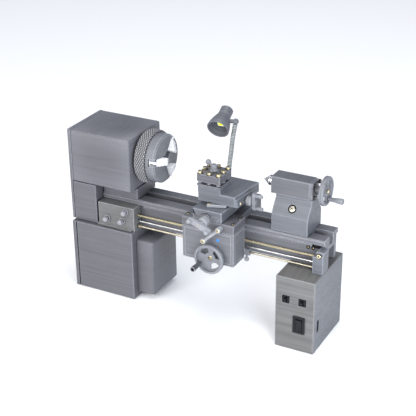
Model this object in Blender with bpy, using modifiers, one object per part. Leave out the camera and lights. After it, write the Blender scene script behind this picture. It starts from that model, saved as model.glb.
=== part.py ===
"""Bench-top model lathe, built as an assembly of separate parts. Units in this file are millimetres,
turned into metres when a mesh is written. Machine coordinates: x runs from the headstock end to the
tailstock end, y from the operator's side to the back, z up from the bench."""

import math

import bmesh
import bpy
from mathutils import Matrix, Vector

MM = 0.001

# Datum: middle of the footprint, on the bench.
DATUM_X = 126.6
DATUM_Y = 18.45

GAP = 0.3
WALL = 2.4

# Spindle line and pulleys
AXIS_Y = 31.2
AXIS_Z = 136.4
MOTOR_Y = 31.2
MOTOR_Z = 34.0
MOTOR_GROOVE_R = 6.5
SPINDLE_GROOVE_R = 13.0
FEED_GROOVE_R = 4.2
BELT_THICK = 0.9
DRIVE_BELT_X = (11.0, 15.4)
FEED_BELT_X = (19.0, 21.4)

# Pedestals
PED_TOP = 69.0
LEFT_X = (0.0, 65.3)
LEFT_Y = (0.0, 58.0)
RIGHT_X = (214.7, 250.9)
RIGHT_Y = (-10.4, 52.8)
END_COVER = 4.3

# Headstock
HEAD_X = (-2.4, 63.6)
HEAD_Y = (4.5, 60.2)
HEAD_Z = (108.2, 159.2)
GUARD_X = 0.6
COLUMN_X = 25.5

# Bed
BED_X = (26.3, 247.5)
BED_Z = (70.3, 97.0)
LIP_Z = 92.5
LIP_FRONT = 15.3
LIP_BACK = 46.3
WEB_FRONT = 18.5
WEB_BACK = 43.1
CHANNEL_Y = (27.0, 35.8)
CHANNEL_Z = 87.8
RACK_PITCH = 3.0

# Rods
ROD_Y = 12.0
LEAD_Z = 83.5
FEED_Z = 77.9
CONTROL_Z = 72.6
BRACKET_X = (241.0, 250.4)

# Chuck
RING_X = (66.6, 76.8)
RING_R = 25.0
CHUCK_X = (77.1, 86.0)
CHUCK_R = 22.5
JAW_WIDTH = 6.4
JAW_ANGLES = (52.0, 172.0, 292.0)

# Carriage
SADDLE_X = (125.0, 175.0)
SADDLE_Y = (-11.0, 12.0)
SADDLE_TOP = 106.5
BRIDGE_X = (128.0, 168.3)
BRIDGE_TOP = 103.0
REAR_Y = (46.6, 58.0)
APRON_Z = (67.0, 98.5)
WHEEL_X = 153.6
HANDWHEEL_R = 14.0
WHEEL_Z = 72.8
PINION_Z = 87.2
WHEEL_GEAR_R = 4.4
PINION_GEAR_R = 9.7
DOVE_X = 149.3
DOVE_LOW = 7.2
DOVE_HIGH = 12.8
DOVE_TOP = 111.3
CROSS_X = (135.5, 163.5)
CROSS_Y = (-11.0, 36.0)
CROSS_Z = (106.8, 116.3)
CROSS_SCREW_Z = 108.4
SWIVEL = (153.0, 15.0)
COMPOUND_Z = (119.2, 128.6)
COMPOUND_SCREW_Y = 14.0
COMPOUND_SCREW_Z = 121.2
POST = (145.6, 10.3)
POST_HALF = 11.1
POST_SCREW_PITCH = 8.8

# Lamp
NECK_FOOT = (138.6, 52.4, 107.3)
NECK_PATH = ((138.6, 52.4, 107.4), (138.8, 52.4, 128.0), (140.8, 52.4, 145.0),
             (142.2, 52.4, 157.0), (143.3, 53.2, 165.5), (143.9, 54.4, 171.4))
NECK_R = 2.2
SHADE_AXIS = Vector((-0.062, 0.889, 0.454)).normalized()
SHADE_RIM = Vector((131.9, 44.0, 168.3))
SHADE_R = 10.2
SHADE_LENGTH = 24.6
SHADE_ARM_AT = 10.6
CHIP_AT = 6.6

# Tailstock
TAIL_X = (197.5, 231.3)
TAIL_Y = (16.0, 46.2)
BARREL_X = (193.3, 229.2)
BARREL_HALF = 7.75
WHEEL_R = 13.0

GRAPHITE = (0.105, 0.107, 0.115)
PALE_GREY = (0.23, 0.235, 0.25)
STEEL = (0.55, 0.55, 0.56)
BRASS = (0.75, 0.62, 0.35)
WHITE = (0.82, 0.82, 0.84)
BLACK = (0.02, 0.02, 0.022)
RUBBER = (0.03, 0.03, 0.03)
YELLOW = (0.85, 0.9, 0.05)


def clear_scene():
    for obj in list(bpy.data.objects):
        bpy.data.objects.remove(obj, do_unlink=True)
    for group in list(bpy.data.collections):
        bpy.data.collections.remove(group)


def new_collection(name):
    group = bpy.data.collections.new(name)
    bpy.context.scene.collection.children.link(group)
    return group


clear_scene()
LATHE = new_collection("bench_lathe")
TOOLS = new_collection("cutters")
TOOLS.hide_render = True


# ---- shapes, as closed bmeshes in machine coordinates ----


def box(x, y, z):
    bm = bmesh.new()
    bmesh.ops.create_cube(bm, size=1.0)
    size = Vector((x[1] - x[0], y[1] - y[0], z[1] - z[0]))
    middle = Vector((x[1] + x[0], y[1] + y[0], z[1] + z[0])) / 2
    bmesh.ops.scale(bm, vec=size, verts=bm.verts)
    bmesh.ops.translate(bm, vec=middle, verts=bm.verts)
    return bm


def along(axis, a, b, t):
    """A point from its two in-plane coordinates and its place along the axis."""
    return {"x": Vector((t, a, b)), "y": Vector((a, t, b)), "z": Vector((a, b, t))}[axis]


def prism(axis, outline, start, end):
    bm = bmesh.new()
    near = [bm.verts.new(along(axis, a, b, start)) for a, b in outline]
    far = [bm.verts.new(along(axis, a, b, end)) for a, b in outline]
    count = len(outline)
    bm.faces.new(near)
    bm.faces.new(far)
    for i in range(count):
        j = (i + 1) % count
        bm.faces.new((near[i], near[j], far[j], far[i]))
    bmesh.ops.recalc_face_normals(bm, faces=bm.faces)
    return bm


def turned(axis, centre, profile, steps=20, turn=0.0, closed=False):
    """A solid turned about the axis. The profile holds (radius, place along the axis). A closed
    profile makes a ring; an open one is capped at its two ends."""
    bm = bmesh.new()
    rings = []
    for radius, t in profile:
        if radius < 1e-6:
            rings.append([bm.verts.new(along(axis, centre[0], centre[1], t))])
            continue
        angles = [turn + 2 * math.pi * i / steps for i in range(steps)]
        spots = [(centre[0] + radius * math.cos(a), centre[1] + radius * math.sin(a)) for a in angles]
        rings.append([bm.verts.new(along(axis, a, b, t)) for a, b in spots])
    pairs = list(zip(rings, rings[1:]))
    if closed:
        pairs.append((rings[-1], rings[0]))
    for low, high in pairs:
        for i in range(steps):
            j = (i + 1) % steps
            if len(low) == 1:
                bm.faces.new((low[0], high[j], high[i]))
            elif len(high) == 1:
                bm.faces.new((low[i], low[j], high[0]))
            else:
                bm.faces.new((low[i], low[j], high[j], high[i]))
    if not closed:
        for ring in (rings[0], rings[-1]):
            if len(ring) > 1:
                bm.faces.new(ring)
    bmesh.ops.recalc_face_normals(bm, faces=bm.faces)
    return bm


def rod(axis, centre, radius, start, end, steps=20, turn=0.0):
    return turned(axis, centre, ((radius, start), (radius, end)), steps, turn)


def tube(axis, centre, outer, inner, start, end, steps=24):
    profile = ((outer, start), (outer, end), (inner, end), (inner, start))
    return turned(axis, centre, profile, steps, closed=True)


def swept(path, radius, steps=12):
    """A round bar along a path."""
    points = [Vector(p) for p in path]
    bm = bmesh.new()
    rings = []
    for i, point in enumerate(points):
        before = points[max(i - 1, 0)]
        after = points[min(i + 1, len(points) - 1)]
        turn = (after - before).to_track_quat("Z", "Y")
        ring = []
        for k in range(steps):
            angle = 2 * math.pi * k / steps
            offset = turn @ Vector((radius * math.cos(angle), radius * math.sin(angle), 0))
            ring.append(bm.verts.new(point + offset))
        rings.append(ring)
    for low, high in zip(rings, rings[1:]):
        for i in range(steps):
            j = (i + 1) % steps
            bm.faces.new((low[i], low[j], high[j], high[i]))
    bm.faces.new(rings[0])
    bm.faces.new(rings[-1])
    bmesh.ops.recalc_face_normals(bm, faces=bm.faces)
    return bm


def sector(centre, inner, outer, middle, span, steps=5):
    """Outline of one window of a wheel: a ring sector, angles in degrees."""
    angles = [math.radians(middle + span * (i / steps - 0.5)) for i in range(steps + 1)]
    out = [(centre[0] + outer * math.cos(a), centre[1] + outer * math.sin(a)) for a in angles]
    back = [(centre[0] + inner * math.cos(a), centre[1] + inner * math.sin(a)) for a in reversed(angles)]
    return out + back


def loop_outline(low, low_r, high, high_r, steps=12):
    """Outline of a belt round two pulleys."""
    a, b = Vector(low), Vector(high)
    span = b - a
    lean = math.asin((high_r - low_r) / span.length)
    heading = math.atan2(span.y, span.x)
    outline = []
    for i in range(steps + 1):
        angle = heading + math.pi / 2 + lean + (math.pi - 2 * lean) * i / steps
        outline.append((a.x + low_r * math.cos(angle), a.y + low_r * math.sin(angle)))
    for i in range(steps + 1):
        angle = heading - math.pi / 2 - lean + (math.pi + 2 * lean) * i / steps
        outline.append((b.x + high_r * math.cos(angle), b.y + high_r * math.sin(angle)))
    return outline


def band(outer, inner, start, end):
    """A belt: the space between two outlines with the same number of points, across x."""
    bm = bmesh.new()
    loops = []
    for outline, t in ((outer, start), (outer, end), (inner, end), (inner, start)):
        loops.append([bm.verts.new((t, a, b)) for a, b in outline])
    count = len(outer)
    for k in range(4):
        low, high = loops[k], loops[(k + 1) % 4]
        for i in range(count):
            j = (i + 1) % count
            bm.faces.new((low[i], low[j], high[j], high[i]))
    bmesh.ops.recalc_face_normals(bm, faces=bm.faces)
    return bm


def turned_about(bm, centre, axis, degrees):
    matrix = Matrix.Rotation(math.radians(degrees), 4, axis)
    bmesh.ops.rotate(bm, cent=Vector(centre), matrix=matrix, verts=bm.verts)
    return bm


# ---- objects ----


def material(name, colour, metallic, roughness):
    mat = bpy.data.materials.new(name)
    mat.use_nodes = True
    shader = mat.node_tree.nodes["Principled BSDF"]
    shader.inputs["Base Color"].default_value = (*colour, 1.0)
    shader.inputs["Metallic"].default_value = metallic
    shader.inputs["Roughness"].default_value = roughness
    mat.diffuse_color = (*colour, 1.0)
    return mat


def to_world(point):
    return Vector(((point[0] - DATUM_X) * MM, (point[1] - DATUM_Y) * MM, point[2] * MM))


def write_mesh(name, bm, pivot):
    for vert in bm.verts:
        vert.co = (vert.co - Vector(pivot)) * MM
    mesh = bpy.data.meshes.new(name)
    bm.to_mesh(mesh)
    bm.free()
    obj = bpy.data.objects.new(name, mesh)
    obj.location = to_world(pivot)
    return obj


def add_boolean(obj, operation, helper, label):
    helper.display_type = "WIRE"
    helper.hide_render = True
    TOOLS.objects.link(helper)
    modifier = obj.modifiers.new(label, "BOOLEAN")
    modifier.operation = operation
    modifier.solver = "EXACT"
    modifier.object = helper


def part(name, base, pivot, finish, bevel=0.0, segments=1, adds=(), cuts=()):
    """One part: a base shape, rounded, then shapes joined to it and cut from it."""
    colour, metallic, roughness = finish
    obj = write_mesh(name, base, pivot)
    obj.data.materials.append(material(name + "_finish", colour, metallic, roughness))
    LATHE.objects.link(obj)
    if bevel:
        rounding = obj.modifiers.new("rounding", "BEVEL")
        rounding.width = bevel * MM
        rounding.segments = segments
        rounding.limit_method = "ANGLE"
        rounding.angle_limit = math.radians(40)
    for operation, shapes in (("UNION", adds), ("DIFFERENCE", cuts)):
        for i, shape in enumerate(shapes):
            label = f"{name}_{operation.lower()}_{i + 1}"
            add_boolean(obj, operation, write_mesh(label, shape, pivot), label)
    return obj


PRINT = (GRAPHITE, 0.0, 0.45)
PALE_PRINT = (PALE_GREY, 0.0, 0.42)
METAL = (STEEL, 1.0, 0.22)
YELLOW_METAL = (BRASS, 1.0, 0.25)
WHITE_PRINT = (WHITE, 0.0, 0.5)
BLACK_PLASTIC = (BLACK, 0.0, 0.4)
BELT_RUBBER = (RUBBER, 0.0, 0.8)
LED_YELLOW = (YELLOW, 0.0, 0.4)

SPINDLE_LINE = (AXIS_Y, AXIS_Z)


# ---- pedestals and drive ----


def build_left_pedestal():
    x0 = LEFT_X[0] + END_COVER + GAP
    cavity = box((x0 - 5, 58.0), (LEFT_Y[0] + WALL, LEFT_Y[1] - WALL), (WALL, PED_TOP - WALL))
    shell = box((x0, LEFT_X[1]), LEFT_Y, (0.0, PED_TOP))
    bulkhead = box((27.0, 30.0), (LEFT_Y[0] + 1, LEFT_Y[1] - 1), (1.0, PED_TOP - 1))
    boss_hole = rod("x", (MOTOR_Y, MOTOR_Z), 5.0, 20.0, 40.0)
    window = rod("x", (MOTOR_Y, MOTOR_Z), 15.5, 50.0, 75.0, 24)
    belt_slot = box((8.8, 17.8), (14.0, 48.0), (PED_TOP - 6, PED_TOP + 6))
    obj = part("left_pedestal", shell, (35.0, 29.0, 0.0), PRINT, bevel=0.6, cuts=[cavity])
    for i, (operation, shape) in enumerate(
        (("UNION", bulkhead), ("DIFFERENCE", boss_hole), ("DIFFERENCE", window), ("DIFFERENCE", belt_slot))
    ):
        label = f"left_pedestal_detail_{i + 1}"
        add_boolean(obj, operation, write_mesh(label, shape, (35.0, 29.0, 0.0)), label)

    plate = box((LEFT_X[0], LEFT_X[0] + END_COVER), LEFT_Y, (0.0, PED_TOP))
    lip = box(
        (LEFT_X[0] + 2, LEFT_X[0] + END_COVER + 2.0),
        (LEFT_Y[0] + WALL + GAP, LEFT_Y[1] - WALL - GAP),
        (WALL + GAP, PED_TOP - WALL - GAP),
    )
    part("pedestal_end_cover", plate, (2.0, 29.0, 0.0), PRINT, bevel=0.6, adds=[lip])


def build_motor():
    outer = box((LEFT_X[1] + GAP, 83.0), (7.5, 52.0), (4.5, 60.0))
    inner = box((LEFT_X[1] - 5, 80.8), (9.7, 49.8), (6.7, 57.8))
    cover = part("motor_cover", outer, (LEFT_X[1] + GAP, 29.7, 32.0), PRINT, bevel=2.6, segments=3, cuts=[inner])
    cover.modifiers["rounding"].limit_method = "WEIGHT"
    weights = cover.data.attributes.new("bevel_weight_edge", "FLOAT", "EDGE")
    left = min(v.co.x for v in cover.data.vertices)
    for edge in cover.data.edges:
        ends = [cover.data.vertices[i].co.x for i in edge.vertices]
        weights.data[edge.index].value = 0.0 if max(ends) < left + 1e-5 else 1.0

    line = (MOTOR_Y, MOTOR_Z)
    can = turned(
        "x", line,
        ((4.5, 27.3), (4.5, 30.3), (13.6, 30.3), (14.2, 31.0), (14.2, 72.0), (13.0, 73.0),
         (5.0, 73.0), (5.0, 75.5), (2.0, 75.5), (2.0, 36.0), (2.0, 27.3)),
        24, closed=True,
    )
    part("motor", can, (50.0, MOTOR_Y, MOTOR_Z), METAL)

    pulley = turned(
        "x", line,
        ((0.0, 9.4), (8.0, 9.4), (8.0, 10.4), (MOTOR_GROOVE_R, 10.9), (MOTOR_GROOVE_R, 15.5),
         (8.0, 16.0), (8.0, 17.0), (3.2, 17.0), (3.2, 19.0), (1.6, 19.0), (1.6, 68.0), (0.0, 68.0)),
        20,
    )
    part("motor_pulley", pulley, (13.2, MOTOR_Y, MOTOR_Z), METAL)


def build_belts():
    motor = (MOTOR_Y, MOTOR_Z)
    inner = loop_outline(motor, MOTOR_GROOVE_R + GAP, SPINDLE_LINE, SPINDLE_GROOVE_R + GAP)
    outer = loop_outline(
        motor, MOTOR_GROOVE_R + GAP + BELT_THICK, SPINDLE_LINE, SPINDLE_GROOVE_R + GAP + BELT_THICK
    )
    part("drive_belt", band(outer, inner, *DRIVE_BELT_X), (13.2, AXIS_Y, 85.0), BELT_RUBBER)
    lead = (ROD_Y, LEAD_Z)
    inner = loop_outline(lead, FEED_GROOVE_R + GAP, SPINDLE_LINE, 7.0 + GAP, 8)
    outer = loop_outline(lead, FEED_GROOVE_R + GAP + BELT_THICK, SPINDLE_LINE, 7.0 + GAP + BELT_THICK, 8)
    part("feed_belt", band(outer, inner, *FEED_BELT_X), (20.2, 20.0, 110.0), BELT_RUBBER)


def build_right_pedestal():
    shell = box(RIGHT_X, RIGHT_Y, (0.0, PED_TOP + 1.0))
    cavity = box(
        (RIGHT_X[0] + WALL, RIGHT_X[1] - WALL), (RIGHT_Y[0] + WALL, RIGHT_Y[1] - WALL), (WALL, PED_TOP - 1.4)
    )
    front = (RIGHT_Y[0] - 2, RIGHT_Y[0] + 5)
    rocker_hole = box((232.6, 241.8), front, (19.2, 33.9))
    toggle_holes = [box((x - 3.6, x + 3.6), front, (45.2, 52.6)) for x in (224.4, 239.6)]
    port_hole = box((RIGHT_X[1] - 5, RIGHT_X[1] + 2), (-3.3, 0.8), (18.2, 30.2))
    part(
        "right_pedestal", shell, (233.0, 21.0, 0.0), PRINT, bevel=0.6,
        cuts=[cavity, rocker_hole, *toggle_holes, port_hole],
    )


def build_switches():
    y = RIGHT_Y[0]
    bezel = box((231.7, 242.6), (y - 1.1, y - GAP), (18.3, 34.8))
    body = box((233.0, 241.4), (y - 0.8, y + 9.0), (19.6, 33.5))
    well = box((233.9, 240.5), (y - 3.0, y + 4.5), (20.6, 32.5))
    part("power_switch_body", bezel, (237.2, y, 26.5), BLACK_PLASTIC, adds=[body], cuts=[well])

    middle = 26.55
    outline = ((y + 1.2, middle - 5.3), (y + 3.2, middle - 1.6), (y + 3.2, middle + 1.6), (y + 1.2, middle + 5.3),
               (y - 2.3, middle + 5.4), (y - 0.8, middle), (y - 1.6, middle - 5.4))
    rocker = prism("x", outline, 234.3, 240.1)
    part("power_rocker", rocker, (237.2, y + 0.6, middle), BLACK_PLASTIC)

    board = box((219.5, 246.5), (y + 7.0, y + 8.6), (42.5, 56.0))
    bodies = []
    wells = []
    for x in (224.4, 239.6):
        bodies.append(box((x - 3.3, x + 3.3), (y - 0.5, y + 7.4), (45.5, 52.3)))
        wells.append(box((x - 1.5, x + 1.5), (y - 3.0, y + 3.4), (46.4, 51.4)))
    part("switch_board", board, (233.0, y + 7.0, 48.9), BLACK_PLASTIC, adds=bodies, cuts=wells)
    for side, x in (("left", 224.4), ("right", 239.6)):
        outline = ((y + 3.0, 47.9), (y + 3.0, 49.9), (y - 0.4, 49.7), (y - 2.6, 49.9), (y - 2.6, 47.9), (y - 0.4, 48.1))
        lever = prism("x", outline, x - 1.0, x + 1.0)
        part(f"toggle_lever_{side}", lever, (x, y + 2.2, 48.9), BLACK_PLASTIC)

    edge = RIGHT_X[1]
    shell = box((edge - 7.5, edge + 0.35), (-2.9, 0.4), (18.6, 29.8))
    mouth = box((edge - 5.5, edge + 2.0), (-2.2, -0.3), (19.4, 29.0))
    tongue = box((edge - 6.5, edge - 0.9), (-1.55, -0.95), (20.6, 27.8))
    port = part("charging_port", shell, (edge - 3.0, -1.25, 24.2), METAL, bevel=0.5, cuts=[mouth])
    add_boolean(port, "UNION", write_mesh("port_tongue", tongue, (edge - 3.0, -1.25, 24.2)), "port_tongue")


# ---- headstock ----


def build_headstock():
    guard = box((HEAD_X[0], GUARD_X), HEAD_Y, (PED_TOP + GAP, HEAD_Z[1]))
    part("gear_guard", guard, (HEAD_X[0], 32.3, 114.0), PRINT, bevel=1.0, segments=2)

    column = box((GUARD_X + GAP, COLUMN_X), (HEAD_Y[0], 58.0), (PED_TOP + GAP, HEAD_Z[0] - GAP))
    inside = box((GUARD_X - 5, COLUMN_X - 1.8), (HEAD_Y[0] + 1.8, 56.2), (PED_TOP - 5, HEAD_Z[0] + 5))
    lead_hole = rod("x", (ROD_Y, LEAD_Z), 2.0, COLUMN_X - 6, COLUMN_X + 5, 12)
    part("gear_column", column, (13.0, 31.0, PED_TOP + GAP), PRINT, bevel=0.5, cuts=[inside, lead_hole])

    cover = box((GUARD_X + GAP, HEAD_X[1]), HEAD_Y, HEAD_Z)
    inside = box((GUARD_X - 5, HEAD_X[1] - 2.2), (HEAD_Y[0] + 2.2, HEAD_Y[1] - 2.2), (HEAD_Z[0] - 5, HEAD_Z[1] - 2.2))
    nose_hole = rod("x", SPINDLE_LINE, 12.0, HEAD_X[1] - 8, HEAD_X[1] + 5, 24)
    part("headstock_cover", cover, (32.0, 32.3, HEAD_Z[0]), PRINT, bevel=1.6, segments=2, cuts=[inside, nose_hole])

    base = box((27.3, 64.0), (LIP_FRONT, 47.5), (BED_Z[1] + GAP, HEAD_Z[0] - GAP))
    webs = [
        box((x0, x1), (AXIS_Y - 14.5, AXIS_Y + 14.5), (HEAD_Z[0] - 2, AXIS_Z + 14.0))
        for x0, x1 in ((28.4, 34.6), (52.4, 59.6))
    ]
    bores = [rod("x", SPINDLE_LINE, 11.3, 29.4, 40.0, 24), rod("x", SPINDLE_LINE, 11.3, 48.0, 58.4, 24)]
    throat = rod("x", SPINDLE_LINE, 8.2, 20.0, 66.0, 24)
    part(
        "headstock_casting", base, (45.0, AXIS_Y, BED_Z[1] + GAP), PRINT, bevel=0.5,
        adds=webs, cuts=[*bores, throat],
    )


def build_spindle():
    spindle = turned(
        "x", SPINDLE_LINE,
        ((5.0, 6.0), (5.0, 28.0), (6.0, 28.0), (6.0, 60.4), (7.6, 60.4), (7.6, 62.0), (10.6, 62.0),
         (10.6, 66.2), (6.0, 66.2), (6.0, 79.2), (3.0, 79.2), (3.0, 6.0)),
        24, closed=True,
    )
    part("spindle", spindle, (0.0, AXIS_Y, AXIS_Z), METAL)
    for name, x0, x1 in (("rear_bearing", 29.8, 34.3), ("front_bearing", 52.8, 58.0)):
        middle = (x0 + x1) / 2
        groove = 0.8
        race = turned(
            "x", SPINDLE_LINE,
            ((6.3, x0), (7.9, x0), (8.2, x0 + groove), (9.3, x0 + groove), (9.6, x0), (11.0, x0),
             (11.0, x1), (9.6, x1), (9.3, x1 - groove), (8.2, x1 - groove), (7.9, x1), (6.3, x1)),
            24, closed=True,
        )
        part(name, race, (middle, AXIS_Y, AXIS_Z), METAL)
    pulley = turned(
        "x", SPINDLE_LINE,
        ((5.3, 9.4), (14.6, 9.4), (14.6, 10.4), (SPINDLE_GROOVE_R, 10.9), (SPINDLE_GROOVE_R, 15.5),
         (14.6, 16.0), (14.6, 17.0), (8.2, 17.6), (8.2, 18.4), (7.0, 18.8), (7.0, 21.6), (8.2, 22.0),
         (8.2, 23.0), (5.3, 23.0)),
        28, closed=True,
    )
    part("spindle_pulley", pulley, (13.2, AXIS_Y, AXIS_Z), PALE_PRINT)
    pulley = turned(
        "x", (ROD_Y, LEAD_Z),
        ((1.5, 17.4), (5.2, 17.4), (5.2, 18.4), (FEED_GROOVE_R, 18.8), (FEED_GROOVE_R, 21.6),
         (5.2, 22.0), (5.2, 23.0), (1.5, 23.0)),
        16, closed=True,
    )
    part("lead_screw_pulley", pulley, (20.2, ROD_Y, LEAD_Z), PALE_PRINT)


def build_chuck():
    ring = turned(
        "x", SPINDLE_LINE,
        ((RING_R - 0.8, RING_X[0]), (RING_R, RING_X[0] + 0.8), (RING_R, RING_X[1] - 0.8),
         (RING_R - 0.8, RING_X[1]), (16.9, RING_X[1]), (16.9, RING_X[0])),
        48, closed=True,
    )
    part("chuck_scroll_ring", ring, (RING_X[0], AXIS_Y, AXIS_Z), PRINT)

    body = turned(
        "x", SPINDLE_LINE,
        ((16.6, 66.6), (16.6, CHUCK_X[0]), (CHUCK_R, CHUCK_X[0]), (CHUCK_R, CHUCK_X[1] - 1.4),
         (CHUCK_R - 1.4, CHUCK_X[1]), (4.2, CHUCK_X[1]), (4.2, 80.4), (6.3, 80.4), (6.3, 66.6)),
        40, closed=True,
    )
    slots = []
    for angle in JAW_ANGLES:
        slot = box(
            (CHUCK_X[1] - 6.4, CHUCK_X[1] + 2), (AXIS_Y + 2.0, AXIS_Y + CHUCK_R + 3),
            (AXIS_Z - JAW_WIDTH / 2 - GAP, AXIS_Z + JAW_WIDTH / 2 + GAP),
        )
        slots.append(turned_about(slot, (0, *SPINDLE_LINE), "X", angle))
    part("chuck_body", body, (CHUCK_X[0], AXIS_Y, AXIS_Z), PRINT, cuts=slots)

    for number, angle in enumerate(JAW_ANGLES, 1):
        face = CHUCK_X[1]
        outline = ((face - 6.1, 7.4), (face + 6.6, 7.4), (face + 6.6, 10.6), (face + 4.6, 10.6), (face + 4.6, 14.2),
                   (face + 2.6, 14.2), (face + 2.6, 17.6), (face + 0.4, 17.6), (face + 0.4, 20.8), (face - 6.1, 20.8))
        spots = [(x, AXIS_Y + r) for x, r in outline]
        jaw = prism("z", spots, AXIS_Z - JAW_WIDTH / 2, AXIS_Z + JAW_WIDTH / 2)
        turned_about(jaw, (0, *SPINDLE_LINE), "X", angle)
        lean = math.radians(angle)
        pivot = (face, AXIS_Y + 14.0 * math.cos(lean), AXIS_Z + 14.0 * math.sin(lean))
        part(f"chuck_jaw_{number}", jaw, pivot, WHITE_PRINT)


# ---- bed, gearbox and rods ----


def build_bed():
    top = BED_Z[1]
    outline = (
        (WEB_FRONT, BED_Z[0]), (22.0, BED_Z[0]), (22.0, 84.6), (39.6, 84.6), (39.6, BED_Z[0]), (WEB_BACK, BED_Z[0]),
        (WEB_BACK, LIP_Z), (LIP_BACK, LIP_Z), (LIP_BACK, top), (CHANNEL_Y[1], top), (CHANNEL_Y[1], CHANNEL_Z),
        (CHANNEL_Y[0], CHANNEL_Z), (CHANNEL_Y[0], top), (LIP_FRONT + 1.0, top), (LIP_FRONT, top - 1.0),
        (LIP_FRONT, LIP_Z), (WEB_FRONT, LIP_Z),
    )
    bed = prism("x", outline, *BED_X)
    start, end = 70.0, 238.0
    count = int((end - start) / RACK_PITCH)
    teeth = [(start - 1.5, LIP_Z + 1.0)]
    for i in range(count):
        x = start + i * RACK_PITCH
        teeth += [(x - 1.0, LIP_Z - 1.2), (x - 0.45, LIP_Z - 2.4), (x + 0.45, LIP_Z - 2.4), (x + 1.0, LIP_Z - 1.2)]
    teeth.append((start + count * RACK_PITCH - 1.5, LIP_Z + 1.0))
    rack = prism("y", teeth, WEB_FRONT - 2.2, WEB_FRONT + 1.0)
    part("bed", bed, (137.0, AXIS_Y, BED_Z[0]), PRINT, adds=[rack])


def build_gearbox():
    y0, y1 = 5.0, 17.9
    body = box((27.0, LEFT_X[1]), (y0, y1), (PED_TOP + GAP, 92.2))
    sill = box((26.4, 62.6), (y0 - 1.4, y0 + 1), (PED_TOP + GAP, PED_TOP + 2.2))
    inside = box((29.0, 63.3), (y0 + 2.0, y1 + 3), (PED_TOP + 2.5, 91.0))
    ports = [
        rod("x", (ROD_Y, LEAD_Z), 1.7, 20.0, 80.0, 12),
        rod("x", (ROD_Y, FEED_Z), 1.4, 50.0, 80.0, 12),
        rod("x", (ROD_Y, CONTROL_Z), 1.5, 50.0, 80.0, 12),
    ]
    knobs = (("left", 37.0, 78.0), ("upper", 57.0, 88.0), ("lower", 53.0, 78.4))
    stems = [rod("y", (x, z), 1.4, y0 - 2, y0 + 4, 12) for _, x, z in knobs]
    part(
        "feed_gearbox", body, (46.0, y0, PED_TOP + GAP), (PALE_GREY, 0.0, 0.4),
        bevel=0.4, adds=[sill], cuts=[inside, *ports, *stems],
    )
    for side, x, z in knobs:
        knob = turned(
            "y", (x, z),
            ((0.0, y0 - 6.2), (1.5, y0 - 6.2), (2.2, y0 - 5.6), (2.2, y0 - 2.2), (1.7, y0 - 1.8), (1.7, y0 - 1.4),
             (3.0, y0 - 1.4), (3.0, y0 - GAP), (1.1, y0 - GAP), (1.1, y0 + 5.0), (0.0, y0 + 5.0)),
            14,
        )
        part(f"feed_knob_{side}", knob, (x, y0 - 3.0, z), PALE_PRINT)


def build_rods():
    end = BRACKET_X[1] - 2.2
    lead = rod("x", (ROD_Y, LEAD_Z), 1.15, 16.6, end, 12)
    part("lead_screw", lead, (130.0, ROD_Y, LEAD_Z), YELLOW_METAL)
    feed = rod("x", (ROD_Y, FEED_Z), 1.05, 59.0, end, 12)
    part("feed_rod", feed, (130.0, ROD_Y, FEED_Z), METAL)
    control = turned(
        "x", (ROD_Y, CONTROL_Z),
        ((1.1, 60.0), (1.1, LEFT_X[1] + 0.5), (2.3, LEFT_X[1] + 0.5), (2.3, LEFT_X[1] + 3.0),
         (1.1, LEFT_X[1] + 3.0), (1.1, end)),
        12,
    )
    part("control_rod", control, (130.0, ROD_Y, CONTROL_Z), METAL)

    outline = ((6.0, BED_Z[0]), (18.2, BED_Z[0]), (18.2, 90.0), (9.0, 90.0), (6.0, 87.0))
    block = prism("x", outline, *BRACKET_X)
    bores = [rod("x", (ROD_Y, z), 1.45, BRACKET_X[0] - 3, BRACKET_X[1] - 1.8, 12) for z in (LEAD_Z, FEED_Z, CONTROL_Z)]
    shoulder = box((BRACKET_X[0] - 2, BRACKET_X[0] + 2.6), (4.0, 20.0), (86.0, 95.0))
    washer = tube("y", (246.3, 87.0), 2.5, 1.9, 0.0, 8.6, 16)
    part("rod_bracket", block, (245.7, ROD_Y, BED_Z[0]), PRINT, cuts=[*bores, shoulder, washer])


# ---- carriage ----


def build_saddle():
    wing = box(SADDLE_X, SADDLE_Y, (APRON_Z[1] + GAP, SADDLE_TOP))
    bridge = box(BRIDGE_X, (SADDLE_Y[1] - 1.3, REAR_Y[0] + 2), (BED_Z[1] + GAP, BRIDGE_TOP))
    guide = box(BRIDGE_X, (SADDLE_Y[1] - 1.3, LIP_FRONT - GAP), (93.5, BED_Z[1] + 2))
    rear = box(BRIDGE_X, REAR_Y, (88.0, 107.0))
    keeper = box(BRIDGE_X, (WEB_BACK + GAP, REAR_Y[0] + 2), (88.6, LIP_Z - GAP))
    dove = (
        (DOVE_X - DOVE_LOW, BRIDGE_TOP - 1), (DOVE_X + DOVE_LOW, BRIDGE_TOP - 1),
        (DOVE_X + DOVE_LOW, SADDLE_TOP), (DOVE_X + DOVE_HIGH, DOVE_TOP),
        (DOVE_X - DOVE_HIGH, DOVE_TOP), (DOVE_X - DOVE_LOW, SADDLE_TOP),
    )
    male = prism("y", dove, SADDLE_Y[0], 45.0)
    bearing = rod("y", (DOVE_X, CROSS_SCREW_Z), 5.2, SADDLE_Y[0] - 2.6, SADDLE_Y[0] + 2, 20)
    channel = box((DOVE_X - 2.4, DOVE_X + 2.4), (SADDLE_Y[0] + 2.5, 47.0), (105.6, DOVE_TOP + 3))
    bore = rod("y", (DOVE_X, CROSS_SCREW_Z), 1.5, SADDLE_Y[0] - 5, SADDLE_Y[0] + 6, 12)
    pivot_hole = rod("y", (162.6, 102.6), 1.6, SADDLE_Y[0] - 5, SADDLE_Y[0] + 5, 12)
    part(
        "saddle", wing, (150.0, 12.0, BED_Z[1]), PRINT, bevel=0.4,
        adds=[bridge, guide, rear, keeper, male, bearing], cuts=[channel, bore, pivot_hole],
    )


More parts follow.
